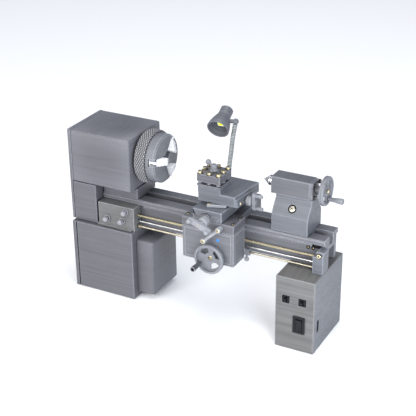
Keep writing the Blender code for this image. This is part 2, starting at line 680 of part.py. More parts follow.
def build_apron():
    y0, y1 = SADDLE_Y[0], 10.4
    body = box(SADDLE_X, (y0, y1), APRON_Z)
    inside = box((SADDLE_X[0] + 2.5, SADDLE_X[1] - 2.5), (y0 + 2.5, y1 + 3), (APRON_Z[0] + 1.1, APRON_Z[1] - 1.3))
    shaft_hole = rod("y", (WHEEL_X, WHEEL_Z), 2.4, y0 - 3, y0 + 5, 16)
    pinion_hole = rod("y", (WHEEL_X, PINION_Z), 1.5, y0 + 1.2, y0 + 5, 12)
    part(
        "apron", body, (150.0, y0, 83.0), PALE_PRINT, bevel=0.5, cuts=[inside, shaft_hole, pinion_hole],
    )


def wheel_blank(axis, centre, radius, front, depth, steps=36):
    """Rim, thin web and hub of a handwheel. The front is the outer end of its rim."""
    sign = 1 if depth > 0 else -1
    back = front + depth
    web = (front + sign * 1.3, back - sign * 0.8)
    profile = (
        (4.2, web[0] - sign * 0.4), (4.2, web[0]), (radius - 2.6, web[0]), (radius - 2.3, front), (radius - 0.7, front),
        (radius, front + sign * 0.8), (radius, back - sign * 0.8), (radius - 0.7, back), (radius - 2.3, back),
        (radius - 2.6, web[1]), (4.2, web[1]), (4.2, back),
    )
    full = ((0.0, web[0] - sign * 0.4), *profile, (0.0, back))
    return turned(axis, centre, full, steps)


def build_carriage_wheel():
    centre = (WHEEL_X, WHEEL_Z)
    front, back = -17.6, -13.6
    hub_back = SADDLE_Y[0] - 0.4
    outline = (
        (0.0, hub_back - 1.5), (2.3, hub_back - 1.5), (2.3, hub_back - 2.6), (4.2, hub_back - 2.6),
        (HANDWHEEL_R - 2.5, back - 1.6), (HANDWHEEL_R - 2.3, front), (HANDWHEEL_R - 0.7, front),
        (HANDWHEEL_R, front + 0.8), (HANDWHEEL_R, back - 0.8), (HANDWHEEL_R - 0.7, back), (HANDWHEEL_R - 3.0, back),
        (4.2, hub_back - 1.0), (4.2, hub_back),
        (2.0, hub_back), (2.0, -6.0), (WHEEL_GEAR_R, -6.0), (WHEEL_GEAR_R, -3.0), (2.0, -3.0), (2.0, 3.0), (0.0, 3.0),
    )
    blank = turned("y", centre, outline, 36)
    windows = [prism("y", sector(centre, 5.2, 10.2, a, 56.0), -25.0, -11.6) for a in (35.0, 127.0, 305.0)]
    part("carriage_handwheel", blank, (WHEEL_X, -15.0, WHEEL_Z), PALE_PRINT, cuts=windows)

    lean = math.radians(211.0)
    spot = (WHEEL_X + 9.2 * math.cos(lean), WHEEL_Z + 9.2 * math.sin(lean))
    base = front + 0.5
    grip = turned(
        "y", spot,
        ((0.0, base), (1.9, base), (2.1, front - 6.0), (2.5, front - 12.4), (2.5, front - 13.6),
         (1.6, front - 13.6), (1.6, front - 11.0), (0.0, front - 11.0)),
        14,
    )
    part("carriage_grip", grip, (spot[0], front, spot[1]), METAL)

    pinion = turned(
        "y", (WHEEL_X, PINION_Z),
        ((0.0, SADDLE_Y[0] + 1.6), (1.2, SADDLE_Y[0] + 1.6), (1.2, -6.0), (PINION_GEAR_R, -6.0),
         (PINION_GEAR_R, -3.0), (1.6, -3.0),
         (1.6, 16.4), (2.5, 16.4), (2.5, 18.0), (0.0, 18.0)),
        16,
    )
    part("pinion_shaft", pinion, (WHEEL_X, 5.0, PINION_Z), METAL)


def build_levers():
    y0 = SADDLE_Y[0]
    hub = (162.6, 102.6)
    arm_end = (149.6, 90.8)
    pivot = turned(
        "y", hub,
        ((0.0, y0 - 6.0), (2.2, y0 - 6.0), (2.5, y0 - 5.6), (2.5, y0 - GAP), (1.3, y0 - GAP), (1.3, y0 + 4.0), (0.0, y0 + 4.0)),
        14,
    )
    arm = swept(((hub[0] - 0.8, y0 - 4.6, hub[1] - 0.8), (arm_end[0], y0 - 6.6, arm_end[1])), 1.5, 10)
    knob = turned(
        "y", arm_end,
        ((0.0, y0 - 8.6), (2.2, y0 - 8.6), (2.5, y0 - 8.2), (2.5, y0 - 5.2), (2.1, y0 - 4.8), (0.0, y0 - 4.8)),
        14,
    )
    part("half_nut_lever", pivot, (hub[0], y0, hub[1]), PALE_PRINT, adds=[arm, knob])

    line = (ROD_Y, CONTROL_Z)
    x0 = SADDLE_X[1] + GAP
    collar = tube("x", line, 3.2, 1.45, x0, x0 + 4.4, 16)
    stalk = swept(((x0 + 2.2, ROD_Y - 2.0, CONTROL_Z - 0.6), (x0 + 4.2, ROD_Y - 6.4, CONTROL_Z - 2.4)), 0.9, 8)
    ball = bmesh.new()
    bmesh.ops.create_uvsphere(ball, u_segments=12, v_segments=8, radius=2.2)
    bmesh.ops.translate(ball, vec=Vector((x0 + 4.8, ROD_Y - 7.6, CONTROL_Z - 2.9)), verts=ball.verts)
    part("start_lever", collar, (x0 + 2.0, ROD_Y, CONTROL_Z), PALE_PRINT, adds=[stalk, ball])


def build_cross_slide():
    clear = GAP
    block = box(CROSS_X, CROSS_Y, CROSS_Z)
    groove = (
        (DOVE_X - DOVE_LOW - clear, CROSS_Z[0] - 2), (DOVE_X + DOVE_LOW + clear, CROSS_Z[0] - 2),
        (DOVE_X + DOVE_LOW + clear, SADDLE_TOP - 0.1), (DOVE_X + DOVE_HIGH + clear + 0.2, DOVE_TOP + clear),
        (DOVE_X - DOVE_HIGH - clear - 0.2, DOVE_TOP + clear), (DOVE_X - DOVE_LOW - clear, SADDLE_TOP - 0.1),
    )
    slot = prism("y", groove, CROSS_Y[0] - 3, CROSS_Y[1] + 3)
    arch = rod("y", (DOVE_X, CROSS_SCREW_Z), 5.6, CROSS_Y[0] - 3, CROSS_Y[0] + 2.4, 20)
    nut = box((DOVE_X - 2.1, DOVE_X + 2.1), (14.0, 20.0), (106.0, DOVE_TOP + 2))
    nut_bore = rod("y", (DOVE_X, CROSS_SCREW_Z), 1.45, 10.0, 24.0, 12)
    bolt = rod("z", SWIVEL, 2.2, CROSS_Z[1] - 1, CROSS_Z[1] + 1.6, 12)
    obj = part("cross_slide", block, (DOVE_X, 12.0, CROSS_Z[0]), PRINT, bevel=0.4, cuts=[slot, arch])
    for i, (operation, shape) in enumerate((("UNION", nut), ("DIFFERENCE", nut_bore), ("UNION", bolt))):
        label = f"cross_slide_detail_{i + 1}"
        add_boolean(obj, operation, write_mesh(label, shape, (DOVE_X, 12.0, CROSS_Z[0])), label)


def crank(name, axis, line, stations, half, lean, handle, finish):
    """A balanced crank: screw, graduated drum, bar and two handles. Stations run outwards along the
    axis: screw end, drum start, drum end, bar start, bar end."""
    screw_end, drum_start, drum_end, bar_start, bar_end = stations
    sign = 1 if bar_end > drum_start else -1
    core = turned(
        axis, line,
        ((0.0, screw_end), (1.1, screw_end), (1.1, drum_start), (4.4, drum_start), (4.4, drum_end - sign * 1.0),
         (3.6, drum_end), (1.8, drum_end), (1.8, bar_end + sign * 0.5), (0.0, bar_end + sign * 0.5)),
        16,
    )
    angle = math.radians(lean)
    way = Vector((math.cos(angle), math.sin(angle)))
    across = Vector((-way.y, way.x))
    outline = []
    for end in (1, -1):
        for k in range(7):
            turn = math.pi * (k / 6 - 0.5)
            spot = end * way * (half + 2.2 * math.cos(turn)) + end * across * 2.2 * math.sin(turn)
            outline.append((line[0] + spot.x, line[1] + spot.y))
    bar = prism(axis, outline, bar_start, bar_end)
    handles = []
    for end in (1, -1):
        spot = (line[0] + end * way.x * half, line[1] + end * way.y * half)
        start = bar_end - sign * 0.6
        profile = ((1.3, start), (1.3, start + sign * 1.4), (1.8, bar_end + sign * handle * 0.8),
                   (1.4, bar_end + sign * handle), (0.0, bar_end + sign * handle))
        handles.append(turned(axis, spot, ((0.0, start), *profile), 12))
    pivot = along(axis, line[0], line[1], bar_start)
    part(name, core, pivot, finish, adds=[bar, *handles])


def build_compound():
    top = CROSS_Z[1]
    disc = turned(
        "z", SWIVEL,
        ((2.5, top + GAP), (14.6, top + GAP), (14.6, 118.4), (14.2, 118.9), (2.5, 118.9)),
        32, closed=True,
    )
    low, high = 5.6, 8.0
    rail_outline = (
        (COMPOUND_SCREW_Y - low, 118.0), (COMPOUND_SCREW_Y + low, 118.0), (COMPOUND_SCREW_Y + low, 119.2),
        (COMPOUND_SCREW_Y + high, 123.4), (COMPOUND_SCREW_Y - high, 123.4), (COMPOUND_SCREW_Y - low, 119.2),
    )
    rail = prism("x", rail_outline, 140.0, 166.0)
    channels = [
        box(span, (COMPOUND_SCREW_Y - 2.0, COMPOUND_SCREW_Y + 2.0), (119.6, 126.0)) for span in ((136.0, 149.0), (157.0, 170.0))
    ]
    bore = rod("x", (COMPOUND_SCREW_Y, COMPOUND_SCREW_Z), 1.45, 136.0, 170.0, 12)
    clamp = swept(((147.6, -3.2, 117.75), (151.0, -2.2, 117.75), (160.6, 1.4, 117.75)), 1.2, 10)
    part("swivel_base", disc, (*SWIVEL, top), PRINT, adds=[rail, clamp], cuts=[*channels, bore])

    body = ((135.5, -0.8), (170.9, -0.8), (175.5, 38.3), (138.0, 38.3))
    slide = prism("z", body, *COMPOUND_Z)
    seat = box((135.5, 157.0), (-0.8, 20.6), (COMPOUND_Z[1] - 1, 133.1))
    groove = (
        (COMPOUND_SCREW_Y - low - GAP, 117.0), (COMPOUND_SCREW_Y + low + GAP, 117.0), (COMPOUND_SCREW_Y + low + GAP, 119.1),
        (COMPOUND_SCREW_Y + high + GAP + 0.2, 123.7), (COMPOUND_SCREW_Y - high - GAP - 0.2, 123.7),
        (COMPOUND_SCREW_Y - low - GAP, 119.1),
    )
    slot = prism("x", groove, 130.0, 169.4)
    plate = prism("z", ((170.2, 0.2), (172.9, 0.2), (175.6, 26.0), (172.9, 26.0)), 119.2, 126.4)
    screw_bore = rod("x", (COMPOUND_SCREW_Y, COMPOUND_SCREW_Z), 1.5, 165.0, 180.0, 12)
    stud = rod("z", POST, 2.6, 132.0, 144.0, 12)
    head = rod("x", (4.6, 121.9), 1.5, 171.5, 174.6, 12)
    part(
        "compound_slide", slide, (153.0, COMPOUND_SCREW_Y, COMPOUND_Z[0]), PRINT, bevel=0.5,
        adds=[seat, plate, stud, head], cuts=[slot, screw_bore],
    )


def build_tool_post():
    x = (POST[0] - POST_HALF, POST[0] + POST_HALF)
    y = (POST[1] - POST_HALF, POST[1] + POST_HALF)
    upper = box(x, y, (137.2, 144.2))
    core = box((POST[0] - 6.8, POST[0] + 6.8), (POST[1] - 6.8, POST[1] + 6.8), (134.0, 138.0))
    lower = box(x, y, (133.4, 134.7))
    screws = []
    for i in (-1, 0, 1):
        for j in (-1, 0, 1):
            if i or j:
                spot = (POST[0] + i * POST_SCREW_PITCH, POST[1] + j * POST_SCREW_PITCH)
                screws.append(rod("z", spot, 1.9, 135.2, 146.4, 10))
    bore = rod("z", POST, 2.9, 130.0, 150.0, 14)
    part("tool_post", upper, (*POST, 133.4), PRINT, bevel=0.3, adds=[core, lower, *screws], cuts=[bore])

    nut = turned(
        "z", POST,
        ((0.0, 144.5), (3.9, 144.5), (3.9, 145.4), (3.1, 145.9), (2.8, 149.4), (2.0, 150.4), (0.0, 150.4)),
        14,
    )
    arm = swept(((POST[0] - 0.5, POST[1], 148.2), (140.2, 11.6, 150.6)), 0.95, 8)
    ball = bmesh.new()
    bmesh.ops.create_uvsphere(ball, u_segments=12, v_segments=8, radius=2.5)
    bmesh.ops.translate(ball, vec=Vector((139.4, 11.8, 151.0)), verts=ball.verts)
    part("tool_post_lever", nut, (*POST, 146.0), PALE_PRINT, adds=[arm, ball])


# ---- lamp ----


def build_lamp():
    foot = turned(
        "z", NECK_FOOT[:2],
        ((0.0, 107.3), (4.6, 107.3), (4.6, 108.6), (3.2, 109.6), (3.2, 111.6), (0.0, 111.6)),
        16,
    )
    neck = swept(NECK_PATH, NECK_R, 12)
    tip = Vector(NECK_PATH[-1])
    heading = (tip - Vector(NECK_PATH[-2])).normalized()
    joint = tip + heading * 1.2
    ball = bmesh.new()
    bmesh.ops.create_uvsphere(ball, u_segments=12, v_segments=8, radius=1.6)
    bmesh.ops.translate(ball, vec=joint, verts=ball.verts)
    part("lamp_neck", foot, NECK_FOOT, (STEEL, 0.6, 0.35), adds=[neck, ball])

    turn = SHADE_AXIS.to_track_quat("Z", "Y").to_matrix().to_4x4()
    place = Matrix.Translation(SHADE_RIM) @ turn
    outside = (
        (SHADE_R, 0.0), (SHADE_R, 0.8), (9.8, 3.6), (8.9, 7.4), (7.6, 11.4), (6.4, 14.6), (5.9, 16.0),
        (5.9, SHADE_LENGTH - 1.0), (4.9, SHADE_LENGTH), (0.0, SHADE_LENGTH),
    )
    inside = ((0.0, -3.0), (9.5, -3.0), (9.2, 0.0), (8.7, 3.6), (7.8, 7.4), (6.5, 11.4), (5.0, 14.2), (0.0, 14.2))
    shade = turned("z", (0.0, 0.0), outside, 28)
    hollow = turned("z", (0.0, 0.0), inside, 28)
    for bm in (shade, hollow):
        bmesh.ops.transform(bm, matrix=place, verts=bm.verts)
    arm_end = place @ Vector((0.0, 0.0, SHADE_ARM_AT))
    hub = joint + heading * 1.4
    housing = bmesh.new()
    bmesh.ops.create_uvsphere(housing, u_segments=14, v_segments=9, radius=2.75)
    bmesh.ops.translate(housing, vec=hub, verts=housing.verts)
    stem = swept((hub, hub.lerp(arm_end, 0.5)), 1.9, 11)
    socket = bmesh.new()
    bmesh.ops.create_uvsphere(socket, u_segments=12, v_segments=8, radius=1.95)
    bmesh.ops.translate(socket, vec=joint, verts=socket.verts)
    part("lamp_shade", shade, tuple(joint), PALE_PRINT, adds=[housing, stem], cuts=[hollow, socket])

    chip_profile = (
        (0.0, CHIP_AT), (2.6, CHIP_AT), (2.6, CHIP_AT + 0.8), (3.8, CHIP_AT + 0.8), (3.8, CHIP_AT + 1.8),
        (2.4, CHIP_AT + 1.8), (2.4, 13.8), (0.0, 13.8),
    )
    chip = turned("z", (0.0, 0.0), chip_profile, 12)
    bmesh.ops.transform(chip, matrix=place, verts=chip.verts)
    part("lamp_led", chip, tuple(place @ Vector((0.0, 0.0, CHIP_AT))), LED_YELLOW)


# ---- tailstock ----


def build_tailstock():
    low = BED_Z[1] + GAP
    outline = (
        (TAIL_Y[0], low), (TAIL_Y[0], 112.5), (25.0, 125.4), (25.0, 128.0), (AXIS_Y * 2 - 25.0, 128.0),
        (AXIS_Y * 2 - 25.0, 125.4), (TAIL_Y[1], 112.5), (TAIL_Y[1], low), (CHANNEL_Y[1] - GAP, low),
        (CHANNEL_Y[1] - 0.4, 89.4), (CHANNEL_Y[0] + 0.4, 89.4), (CHANNEL_Y[0] + 0.4, low),
    )
    base = prism("x", outline, *TAIL_X)
    slope = Vector((0.0, -(125.4 - 112.5), 25.0 - TAIL_Y[0])).normalized()
    seat = Vector((215.0, 20.3, 118.7))
    ring = tube("z", (0.0, 0.0), 3.9, 3.0, -2.2, 3.0, 18)
    turn = slope.to_track_quat("Z", "Y").to_matrix().to_4x4()
    bmesh.ops.transform(ring, matrix=Matrix.Translation(seat) @ turn, verts=ring.verts)
    part("tailstock_base", base, (214.4, AXIS_Y, low), PRINT, bevel=0.4, cuts=[ring])

    y = (AXIS_Y - BARREL_HALF, AXIS_Y + BARREL_HALF)
    z = (AXIS_Z - BARREL_HALF - 0.35, AXIS_Z + BARREL_HALF - 0.35)
    body = box(BARREL_X, y, z)
    plate = box((BARREL_X[1] - 1, 231.2), (y[0] + 0.6, y[1] - 0.6), (z[0] + 0.6, z[1] - 0.6))
    bolts = [
        rod("x", (AXIS_Y + i * 5.6, AXIS_Z - 0.35 + j * 5.6), 1.9, 229.5, 233.4, 10) for i in (-1, 1) for j in (-1, 1)
    ]
    bore = rod("x", SPINDLE_LINE, 4.7, 190.0, 228.6, 20)
    screw_bore = rod("x", SPINDLE_LINE, 1.7, 220.0, 236.0, 12)
    part(
        "tailstock_barrel", body, (211.0, AXIS_Y, AXIS_Z), PRINT, bevel=0.5,
        adds=[plate, *bolts], cuts=[bore, screw_bore],
    )

    quill = turned(
        "x", SPINDLE_LINE,
        ((2.4, 190.6), (4.4, 190.6), (4.4, 227.6), (1.8, 227.6), (1.8, 200.0), (2.4, 200.0)),
        18, closed=True,
    )
    part("tailstock_quill", quill, (209.0, AXIS_Y, AXIS_Z), METAL)
    centre = turned(
        "x", SPINDLE_LINE,
        ((0.0, 183.3), (4.8, 189.6), (4.8, 190.3), (2.1, 190.3), (2.1, 198.6), (0.0, 198.6)),
        18,
    )
    part("dead_centre", centre, (190.3, AXIS_Y, AXIS_Z), METAL)

    front, back = 242.8, 238.6
    blank = wheel_blank("x", SPINDLE_LINE, WHEEL_R, front, back - front)
    shaft = turned(
        "x", SPINDLE_LINE,
        ((1.3, 206.0), (1.3, 231.6), (2.6, 231.6), (4.6, 238.0), (4.6, 239.4)),
        16,
    )
    lean = math.radians(-72.0)
    spot = (AXIS_Y + 8.6 * math.cos(lean), AXIS_Z + 8.6 * math.sin(lean))
    windows = [prism("x", sector(SPINDLE_LINE, 5.4, 9.4, a, 77.0), 236.0, 250.0) for a in (-12.0, 108.0, 228.0)]
    part("tailstock_handwheel", blank, (240.6, AXIS_Y, AXIS_Z), PALE_PRINT, adds=[shaft], cuts=windows)
    grip = turned(
        "x", spot,
        ((0.0, front - 0.9), (1.6, front - 0.9), (2.0, front + 5.0), (2.7, front + 11.6), (2.4, front + 12.8),
         (0.0, front + 12.8)),
        14,
    )
    part("tailstock_grip", grip, (front, *spot), PALE_PRINT)


def build_all():
    build_left_pedestal()
    build_motor()
    build_belts()
    build_right_pedestal()
    build_switches()
    build_headstock()
    build_spindle()
    build_chuck()
    build_bed()
    build_gearbox()
    build_rods()
    build_saddle()
    build_apron()
    build_carriage_wheel()
    build_levers()
    build_cross_slide()
    crank(
        "cross_slide_crank", "y", (DOVE_X, CROSS_SCREW_Z), (40.0, SADDLE_Y[0] - 2.9, -20.4, -23.2, -26.0),
        9.0, 157.0, 3.6, PALE_PRINT,
    )
    build_compound()
    crank(
        "compound_crank", "x", (COMPOUND_SCREW_Y, COMPOUND_SCREW_Z), (142.0, 176.0, 180.4, 181.2, 183.8),
        6.0, 93.0, 6.4, PALE_PRINT,
    )
    build_tool_post()
    build_lamp()
    build_tailstock()


build_all()
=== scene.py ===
"""The looks of the bench-top model lathe: materials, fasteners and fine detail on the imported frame.

Lengths are millimetres in the machine's own coordinates: X to the tailstock, Y to the back, Z up.
place() turns them into the frame's metres."""

import math

import bmesh
import bpy
from mathutils import Matrix, Vector


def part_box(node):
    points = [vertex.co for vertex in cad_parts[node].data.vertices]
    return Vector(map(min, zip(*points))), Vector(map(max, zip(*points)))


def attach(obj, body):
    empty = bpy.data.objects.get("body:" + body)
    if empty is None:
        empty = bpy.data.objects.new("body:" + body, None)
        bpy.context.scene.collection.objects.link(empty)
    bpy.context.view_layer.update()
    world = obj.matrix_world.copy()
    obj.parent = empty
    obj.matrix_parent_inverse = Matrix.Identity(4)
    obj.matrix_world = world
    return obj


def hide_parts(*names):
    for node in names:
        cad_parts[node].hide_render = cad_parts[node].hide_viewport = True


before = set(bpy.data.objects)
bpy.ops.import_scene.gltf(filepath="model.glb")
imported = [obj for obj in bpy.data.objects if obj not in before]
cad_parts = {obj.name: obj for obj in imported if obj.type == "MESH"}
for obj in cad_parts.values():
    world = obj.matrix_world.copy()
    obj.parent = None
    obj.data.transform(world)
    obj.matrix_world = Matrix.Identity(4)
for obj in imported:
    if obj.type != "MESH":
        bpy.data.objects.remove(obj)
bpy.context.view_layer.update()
MM = 0.001
# The frame's origin in the machine's coordinates.
DATUM = Vector((126.6, 18.45, 0.0))
TAILWARD = (1, 0, 0)
FRONT = (0, -1, 0)
BACK = (0, 1, 0)
UP = (0, 0, 1)

# ---- places on the machine ----

# The spindle line, as Y and Z.
AXIS = (31.2, 136.4)

# The knurled ring of the chuck: its two ends, radii, and the diamonds round and along it.
RING_X = (66.6, 76.8)
RING_R = 25.0
RING_CHAMFER = 0.8
RING_BORE = 16.9
KNURL_MARGIN = 0.7
KNURL_DEPTH = 0.55
KNURL_COLUMNS = 84
KNURL_ROWS = 8

# The chuck's front face, its radius, and its three jaws.
CHUCK_FACE = 86.0
CHUCK_R = 22.5
SLOT_DEPTH = 6.1
JAW_WIDTH = 6.4
JAW_SPAN = (7.6, 20.8)
JAW_ANGLES = (52.0, 172.0, 292.0)
# Each jaw's outline: how far it stands out of the face, and its distance from the spindle line.
JAW_STEPS = (
    (0.15, 7.4), (6.6, 7.4), (6.6, 10.2), (5.2, 10.8), (5.0, 13.2),
    (3.6, 13.9), (3.4, 16.2), (1.9, 16.9), (1.7, 17.9), (0.15, 18.2),
)

# The carriage and what stands on it. The apron's frame is x low, x high, z low, z high.
SADDLE_FRONT = -11.0
SADDLE_SIDE = 175.0
SADDLE_TOP = 106.1
SADDLE_SCREWS = ((127.6, -4.7), (172.4, -6.3), (172.6, 6.7))
APRON_FRAME = (127.6, 172.4, 69.6, 96.4)
APRON_SIGHT = (159.8, -10.95, 90.1)
CLAMP_PATH = ((147.6, -3.2, 117.75), (160.6, 1.4, 117.75))
CLAMP_TOP = 118.6
CLAMP_THICKNESS = 2.6
COMPOUND_END = (174.4, 4.6, 121.9)
POST = (145.6, 10.3)
POST_PITCH = 8.8
POST_TOP = 144.0
LEVER_CAP_SEAT = 150.0

# The carriage's handles, as X and Z, with the Y of their front faces.
WHEEL = (153.6, 72.8)
WHEEL_FRONT = -12.8
GRIP_SPOT = (145.7, 68.1)
GRIP_END = -30.9
CROSS_CRANK = (149.3, 108.4)
CRANK_FRONT = -25.6
LEVER_END = (162.6, -16.9, 102.6)
LEVER_HUB = (149.6, -19.5, 90.8)

# The tailstock, and the tail end of the bed.
TAIL_SCREW = (215.0, 20.3, 118.7)
TAIL_SLOPE = Vector((0.0, -12.9, 9.0)).normalized()
TAIL_WHEEL_END = 242.7
BARREL_END = 232.0
BARREL_Z = AXIS[1] - 0.35
BOLT_OFFSET = 5.6
WEB_FRONT = 18.5
WEB_HOLES = (231.6, 236.0)
WEB_HOLE_Z = 87.0
# A black block that paints the shadow in the gap behind the bracket top.
WEB_GAP_SHADOW = ((236.0, 16.2, 88.9), (243.5, WEB_FRONT + 0.2, 92.3))
BRACKET_SCREW = (246.3, 6.4, 87.3)

# The joints on the left: gearbox to column, end cover to pedestal, gear guard to headstock cover.
COLUMN_JOINT = ((25.7, 5.6, 70.0), (26.95, 8.5, 92.0))
COVER_JOINT = ((4.25, -0.04, 0.8), (4.85, 0.4, 68.3))
GUARD_JOINT = ((0.4, 4.75, 108.6), (1.2, 59.9, 158.95))
KNOBS = (("left", 37.0, 78.0), ("upper", 57.0, 88.0), ("lower", 53.0, 78.4))
KNOB_ROOT = 3.15

# The lamp.
NECK_PATH = (
    (138.6, 52.4, 107.4), (138.8, 52.4, 128.0), (140.8, 52.4, 145.0),
    (142.2, 52.4, 157.0), (143.3, 53.2, 165.5), (143.9, 54.4, 171.4),
)
NECK_FOOT = (138.6, 52.4, 107.35)
NECK_R = 2.2
NECK_RIBS = 46
RIB_DEPTH = 0.42
# The four rings of one rib, as heights over the groove, and the finish up to each.
RIB_SHAPE = (0.0, 0.32, 0.42, 0.32)
RIB_FINISHES = (1, 1, 0, 0)
SHADE_AXIS = (-0.062, 0.889, 0.454)
SHADE_RIM = (131.9, 44.0, 168.3)
BOARD_DEPTH = 8.2

# ---- camera and light ----

CAMERA_AZIMUTH = 28.126
CAMERA_ELEVATION = 25.826
CAMERA_ROLL = -0.609
CAMERA_DISTANCE = 967.3
CAMERA_TARGET = (126.11, 35.0, 94.0)
LENS = 92.45
SENSOR = 36.0
SOFTBOX = (-0.22, -0.82, 0.44)
WORLD_DARK = (0.22, 0.25, 0.31)
WORLD_LIGHT = (1.0, 1.0, 1.0)
WORLD_STRENGTH = 1.38
KEY_POWER = 9.0
TOP_POWER = 8.0
LIFT_POWER = 1.0
FLOOR_REACH = 6.0
FLOOR_DROP = 0.0002


def place(point):
    """Machine coordinates in millimetres, turned into the frame's metres."""
    return (Vector(point) - DATUM) * MM


def corners(node):
    """Lowest and highest corner of a CAD node, in machine coordinates."""
    low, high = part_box(node)
    return Vector(low) / MM + DATUM, Vector(high) / MM + DATUM


def build_camera():
    azimuth, elevation = math.radians(CAMERA_AZIMUTH), math.radians(CAMERA_ELEVATION)
    flat = math.cos(elevation)
    back = Vector((math.sin(azimuth) * flat, -math.cos(azimuth) * flat, math.sin(elevation)))
    right = (-back).cross(Vector(UP)).normalized()
    up = right.cross(-back)
    roll = math.radians(CAMERA_ROLL)
    side = right * math.cos(roll) + up * math.sin(roll)
    top = up * math.cos(roll) - right * math.sin(roll)
    spot = place(CAMERA_TARGET) + back * CAMERA_DISTANCE * MM
    camera = bpy.data.objects.new("camera", bpy.data.cameras.new("camera"))
    camera.data.lens = LENS
    camera.data.sensor_width = SENSOR
    camera.data.clip_start = 0.01
    turn = Matrix((side, top, back)).transposed().to_4x4()
    camera.matrix_world = Matrix.Translation(spot) @ turn
    bpy.context.scene.collection.objects.link(camera)
    bpy.context.scene.camera = camera


def area_light(name, spot, aim, size, power, colour=(1, 1, 1)):
    """A round soft lamp that the camera doesn't see. The spot, the aim and the size are in metres."""
    light = bpy.data.lights.new(name, "AREA")
    light.shape = "DISK"
    light.size = size
    light.energy = power
    light.color = colour
    lamp = bpy.data.objects.new(name, light)
    lamp.location = spot
    lamp.rotation_euler = (Vector(aim) - Vector(spot)).to_track_quat("-Z", "Y").to_euler()
    lamp.visible_camera = False
    bpy.context.scene.collection.objects.link(lamp)


def build_world():
    """A soft glow from the SOFTBOX direction that fades to a dim bluish grey on the far side."""
    world = bpy.data.worlds.new("studio")
    bpy.context.scene.world = world
    world.use_nodes = True
    nodes, links = world.node_tree.nodes, world.node_tree.links
    where = nodes.new("ShaderNodeTexCoord")
    toward = nodes.new("ShaderNodeVectorMath")
    toward.operation = "DOT_PRODUCT"
    toward.inputs[1].default_value = Vector(SOFTBOX).normalized()
    ramp = nodes.new("ShaderNodeValToRGB")
    ramp.color_ramp.interpolation = "EASE"
    stops = ((0.1, WORLD_DARK), (0.95, WORLD_LIGHT))
    for element, (position, level) in zip(ramp.color_ramp.elements, stops):
        element.position = position
        element.color = (*level, 1)
    links.new(where.outputs["Generated"], toward.inputs[0])
    links.new(toward.outputs["Value"], ramp.inputs[0])
    links.new(ramp.outputs[0], nodes["Background"].inputs["Color"])
    nodes["Background"].inputs["Strength"].default_value = WORLD_STRENGTH


def build_light():
    """The world's glow, a key lamp in front, one overhead, and a small one that lifts the tail end."""
    build_world()
    area_light("key", (-0.45, -1.2, 0.62), (0, 0, 0.08), 0.6, KEY_POWER)
    area_light("top", (0.1, 0.1, 1.3), (0, 0, 0.1), 0.8, TOP_POWER, (1.0, 0.995, 0.98))
    area_light("tail_lift", (0.29, -0.22, 0.16), (0.06, -0.02, 0.08), 0.14, LIFT_POWER, (0.88, 0.94, 1.0))


def build_floor():
    mesh = bpy.data.meshes.new("floor")
    reach = FLOOR_REACH
    rim = [(-reach, -reach, 0), (reach, -reach, 0), (reach, reach, 0), (-reach, reach, 0)]
    mesh.from_pydata(rim, [], [(0, 1, 2, 3)])
    floor = bpy.data.objects.new("floor", mesh)
    floor.location.z = -FLOOR_DROP
    bpy.context.scene.collection.objects.link(floor)
    graph = Graph("floor_paper")
    speck = graph.add("ShaderNodeTexNoise", {"Vector": graph.place(), "Scale": 40.0, "Detail": 3.0})
    graph.colour(graph.ramp(speck.outputs["Fac"], (0.0, (0.93, 0.93, 0.935)), (1.0, (0.95, 0.95, 0.955))))
    graph.shader.inputs["Roughness"].default_value = 0.9
    floor.data.materials.append(graph.material)


# ---- materials ----


